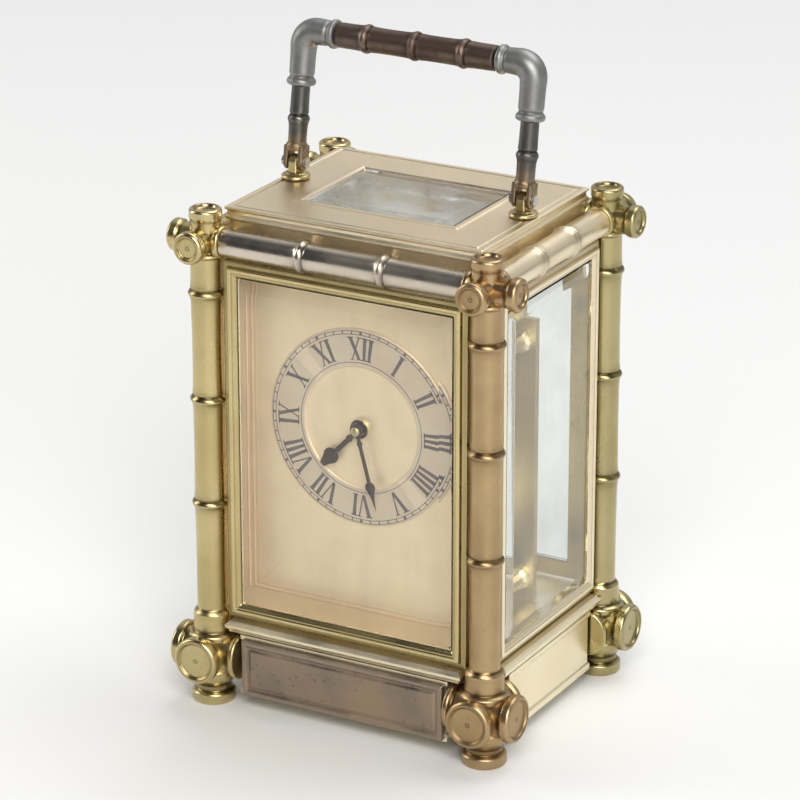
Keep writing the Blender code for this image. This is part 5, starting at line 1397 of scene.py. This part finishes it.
# ---- studio --------------------------------------------------------------------------------
@dataclass
class Studio:
    """Pale floor, soft lights and the camera."""

    azimuth: float = 29.0
    elevation: float = 21.2
    distance: float = 1058.0
    aim_z: float = 71.75
    lens: float = 180.0
    shift: tuple[float, float] = (-0.01, 0.044)

    def floor(self) -> None:
        """Wide floor that is dead flat under the clock and climbs gently far behind it."""
        across, deep = 25, 49
        x, y = np.meshgrid(np.linspace(-6000, 6000, across), np.linspace(-5000, 7000, deep), indexing="ij")
        z = 900 * np.clip((y - 2500) / 4500, 0, 1) ** 2
        points = np.stack([x, y, z], -1).reshape(-1, 3)
        i, j = np.meshgrid(np.arange(across - 1), np.arange(deep - 1), indexing="ij")
        corner = i * deep + j
        quads = np.stack([corner, corner + deep, corner + deep + 1, corner + 1], -1).reshape(-1, 4)
        mesh = bpy.data.meshes.new("studio_floor")
        mesh.from_pydata((points * MM).tolist(), [], quads.tolist())
        mesh.shade_smooth()
        material = bpy.data.materials.new("white_paper")
        material.use_nodes = True
        tree = material.node_tree
        place = added(tree, "ShaderNodeTexCoord").outputs["Object"]
        noise = added(tree, "ShaderNodeTexNoise", {"Scale": 2.5, "Vector": place})
        ramp = added(tree, "ShaderNodeMapRange", {"Value": noise.outputs["Fac"]})
        mix = added(tree, "ShaderNodeMix", {0: ramp.outputs["Result"]}, data_type="RGBA")
        mix.inputs[6].default_value = (0.78, 0.79, 0.79, 1)
        mix.inputs[7].default_value = (0.82, 0.82, 0.81, 1)
        shader = tree.nodes["Principled BSDF"]
        shader.inputs["Roughness"].default_value = 0.75
        tree.links.new(mix.outputs[2], shader.inputs["Base Color"])
        mesh.materials.append(material)
        item = bpy.data.objects.new("studio_floor", mesh)
        bpy.context.scene.collection.objects.link(item)

    def lamp(self, name: str, at: tuple[float, float, float], size: tuple[float, float], power: float,
             colour: tuple[float, float, float] = (1, 1, 1)) -> None:
        """One soft rectangular lamp aimed at the clock.

        Args:
            name: the lamp's name.
            at: where it hangs, in metres.
            size: its width and height in metres.
            power: watts.
            colour: its colour.
        """
        data = bpy.data.lights.new(name, "AREA")
        data.shape, data.size, data.size_y, data.energy, data.color = "RECTANGLE", *size, power, colour
        item = bpy.data.objects.new(name, data)
        item.location = at
        item.rotation_euler = (Vector((0, 0, 0.08)) - Vector(at)).to_track_quat("-Z", "Y").to_euler()
        bpy.context.scene.collection.objects.link(item)

    def world(self) -> None:
        """Room light: bright behind the clock and dark in front of it."""
        world = bpy.data.worlds.new("studio_room")
        bpy.context.scene.world = world
        world.use_nodes = True
        tree = world.node_tree
        place = added(tree, "ShaderNodeTexCoord").outputs["Generated"]
        split = added(tree, "ShaderNodeSeparateXYZ", {0: place})
        ramp = added(tree, "ShaderNodeMapRange", {"From Min": -1, "From Max": 1, "Value": split.outputs["Y"]})
        colours = added(tree, "ShaderNodeValToRGB", {"Fac": ramp.outputs["Result"]})
        stops = colours.color_ramp.elements
        stops[0].position, stops[0].color = 0.42, (0.06, 0.065, 0.08, 1)
        stops[1].position, stops[1].color = 0.72, (0.98, 0.98, 0.98, 1)
        tree.links.new(colours.outputs["Color"], tree.nodes["Background"].inputs["Color"])
        tree.nodes["Background"].inputs["Strength"].default_value = 0.62

    def camera(self) -> None:
        """Camera on a line from the aim point at the stored azimuth and elevation."""
        data = bpy.data.cameras.new("camera")
        data.lens, data.sensor_width = self.lens, 36
        data.shift_x, data.shift_y = self.shift
        data.clip_start, data.clip_end = 0.05, 50
        item = bpy.data.objects.new("camera", data)
        a, e = math.radians(self.azimuth), math.radians(self.elevation)
        back = Vector((math.sin(a) * math.cos(e), -math.cos(a) * math.cos(e), math.sin(e)))
        item.location = Vector((0, 0, self.aim_z * MM)) + back * self.distance * MM
        item.rotation_euler = (-back).to_track_quat("-Z", "Y").to_euler()
        bpy.context.scene.collection.objects.link(item)
        bpy.context.scene.camera = item

    def build(self) -> None:
        """Sets up the studio."""
        scene = bpy.context.scene
        scene.view_settings.view_transform = "Standard"
        self.floor()
        self.world()
        self.lamp("overhead", (0.3, 0.9, 2.1), (2.0, 1.4), 26)
        self.lamp("window_left", (-1.7, -0.45, 0.8), (0.6, 1.2), 11, (1, 0.98, 0.95))
        self.lamp("window_right", (1.3, -1.3, 0.8), (1.0, 1.2), 16, (1, 0.98, 0.96))
        self.lamp("front_fill", (0.9, -1.7, 1.9), (1.4, 1.1), 38, (1, 0.99, 0.97))
        self.camera()


def write_sizes() -> None:
    """Brings the scene's matrices up to date."""
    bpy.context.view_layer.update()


def main() -> None:
    """Builds every sub-assembly in order."""
    logging.basicConfig(level=logging.INFO, format="%(name)s %(message)s")
    for assembly in (CornerPillars(), FriezeCanes(), Base(), GlazedWalls(), RearDoor(), TopDeck(),
                     BailHandle(), Dial(),
                     Movement(), Studio()):
        assembly.build()
        LOG.info("built %s", type(assembly).__name__)
    write_sizes()


if __name__ == "__main__":
    main()
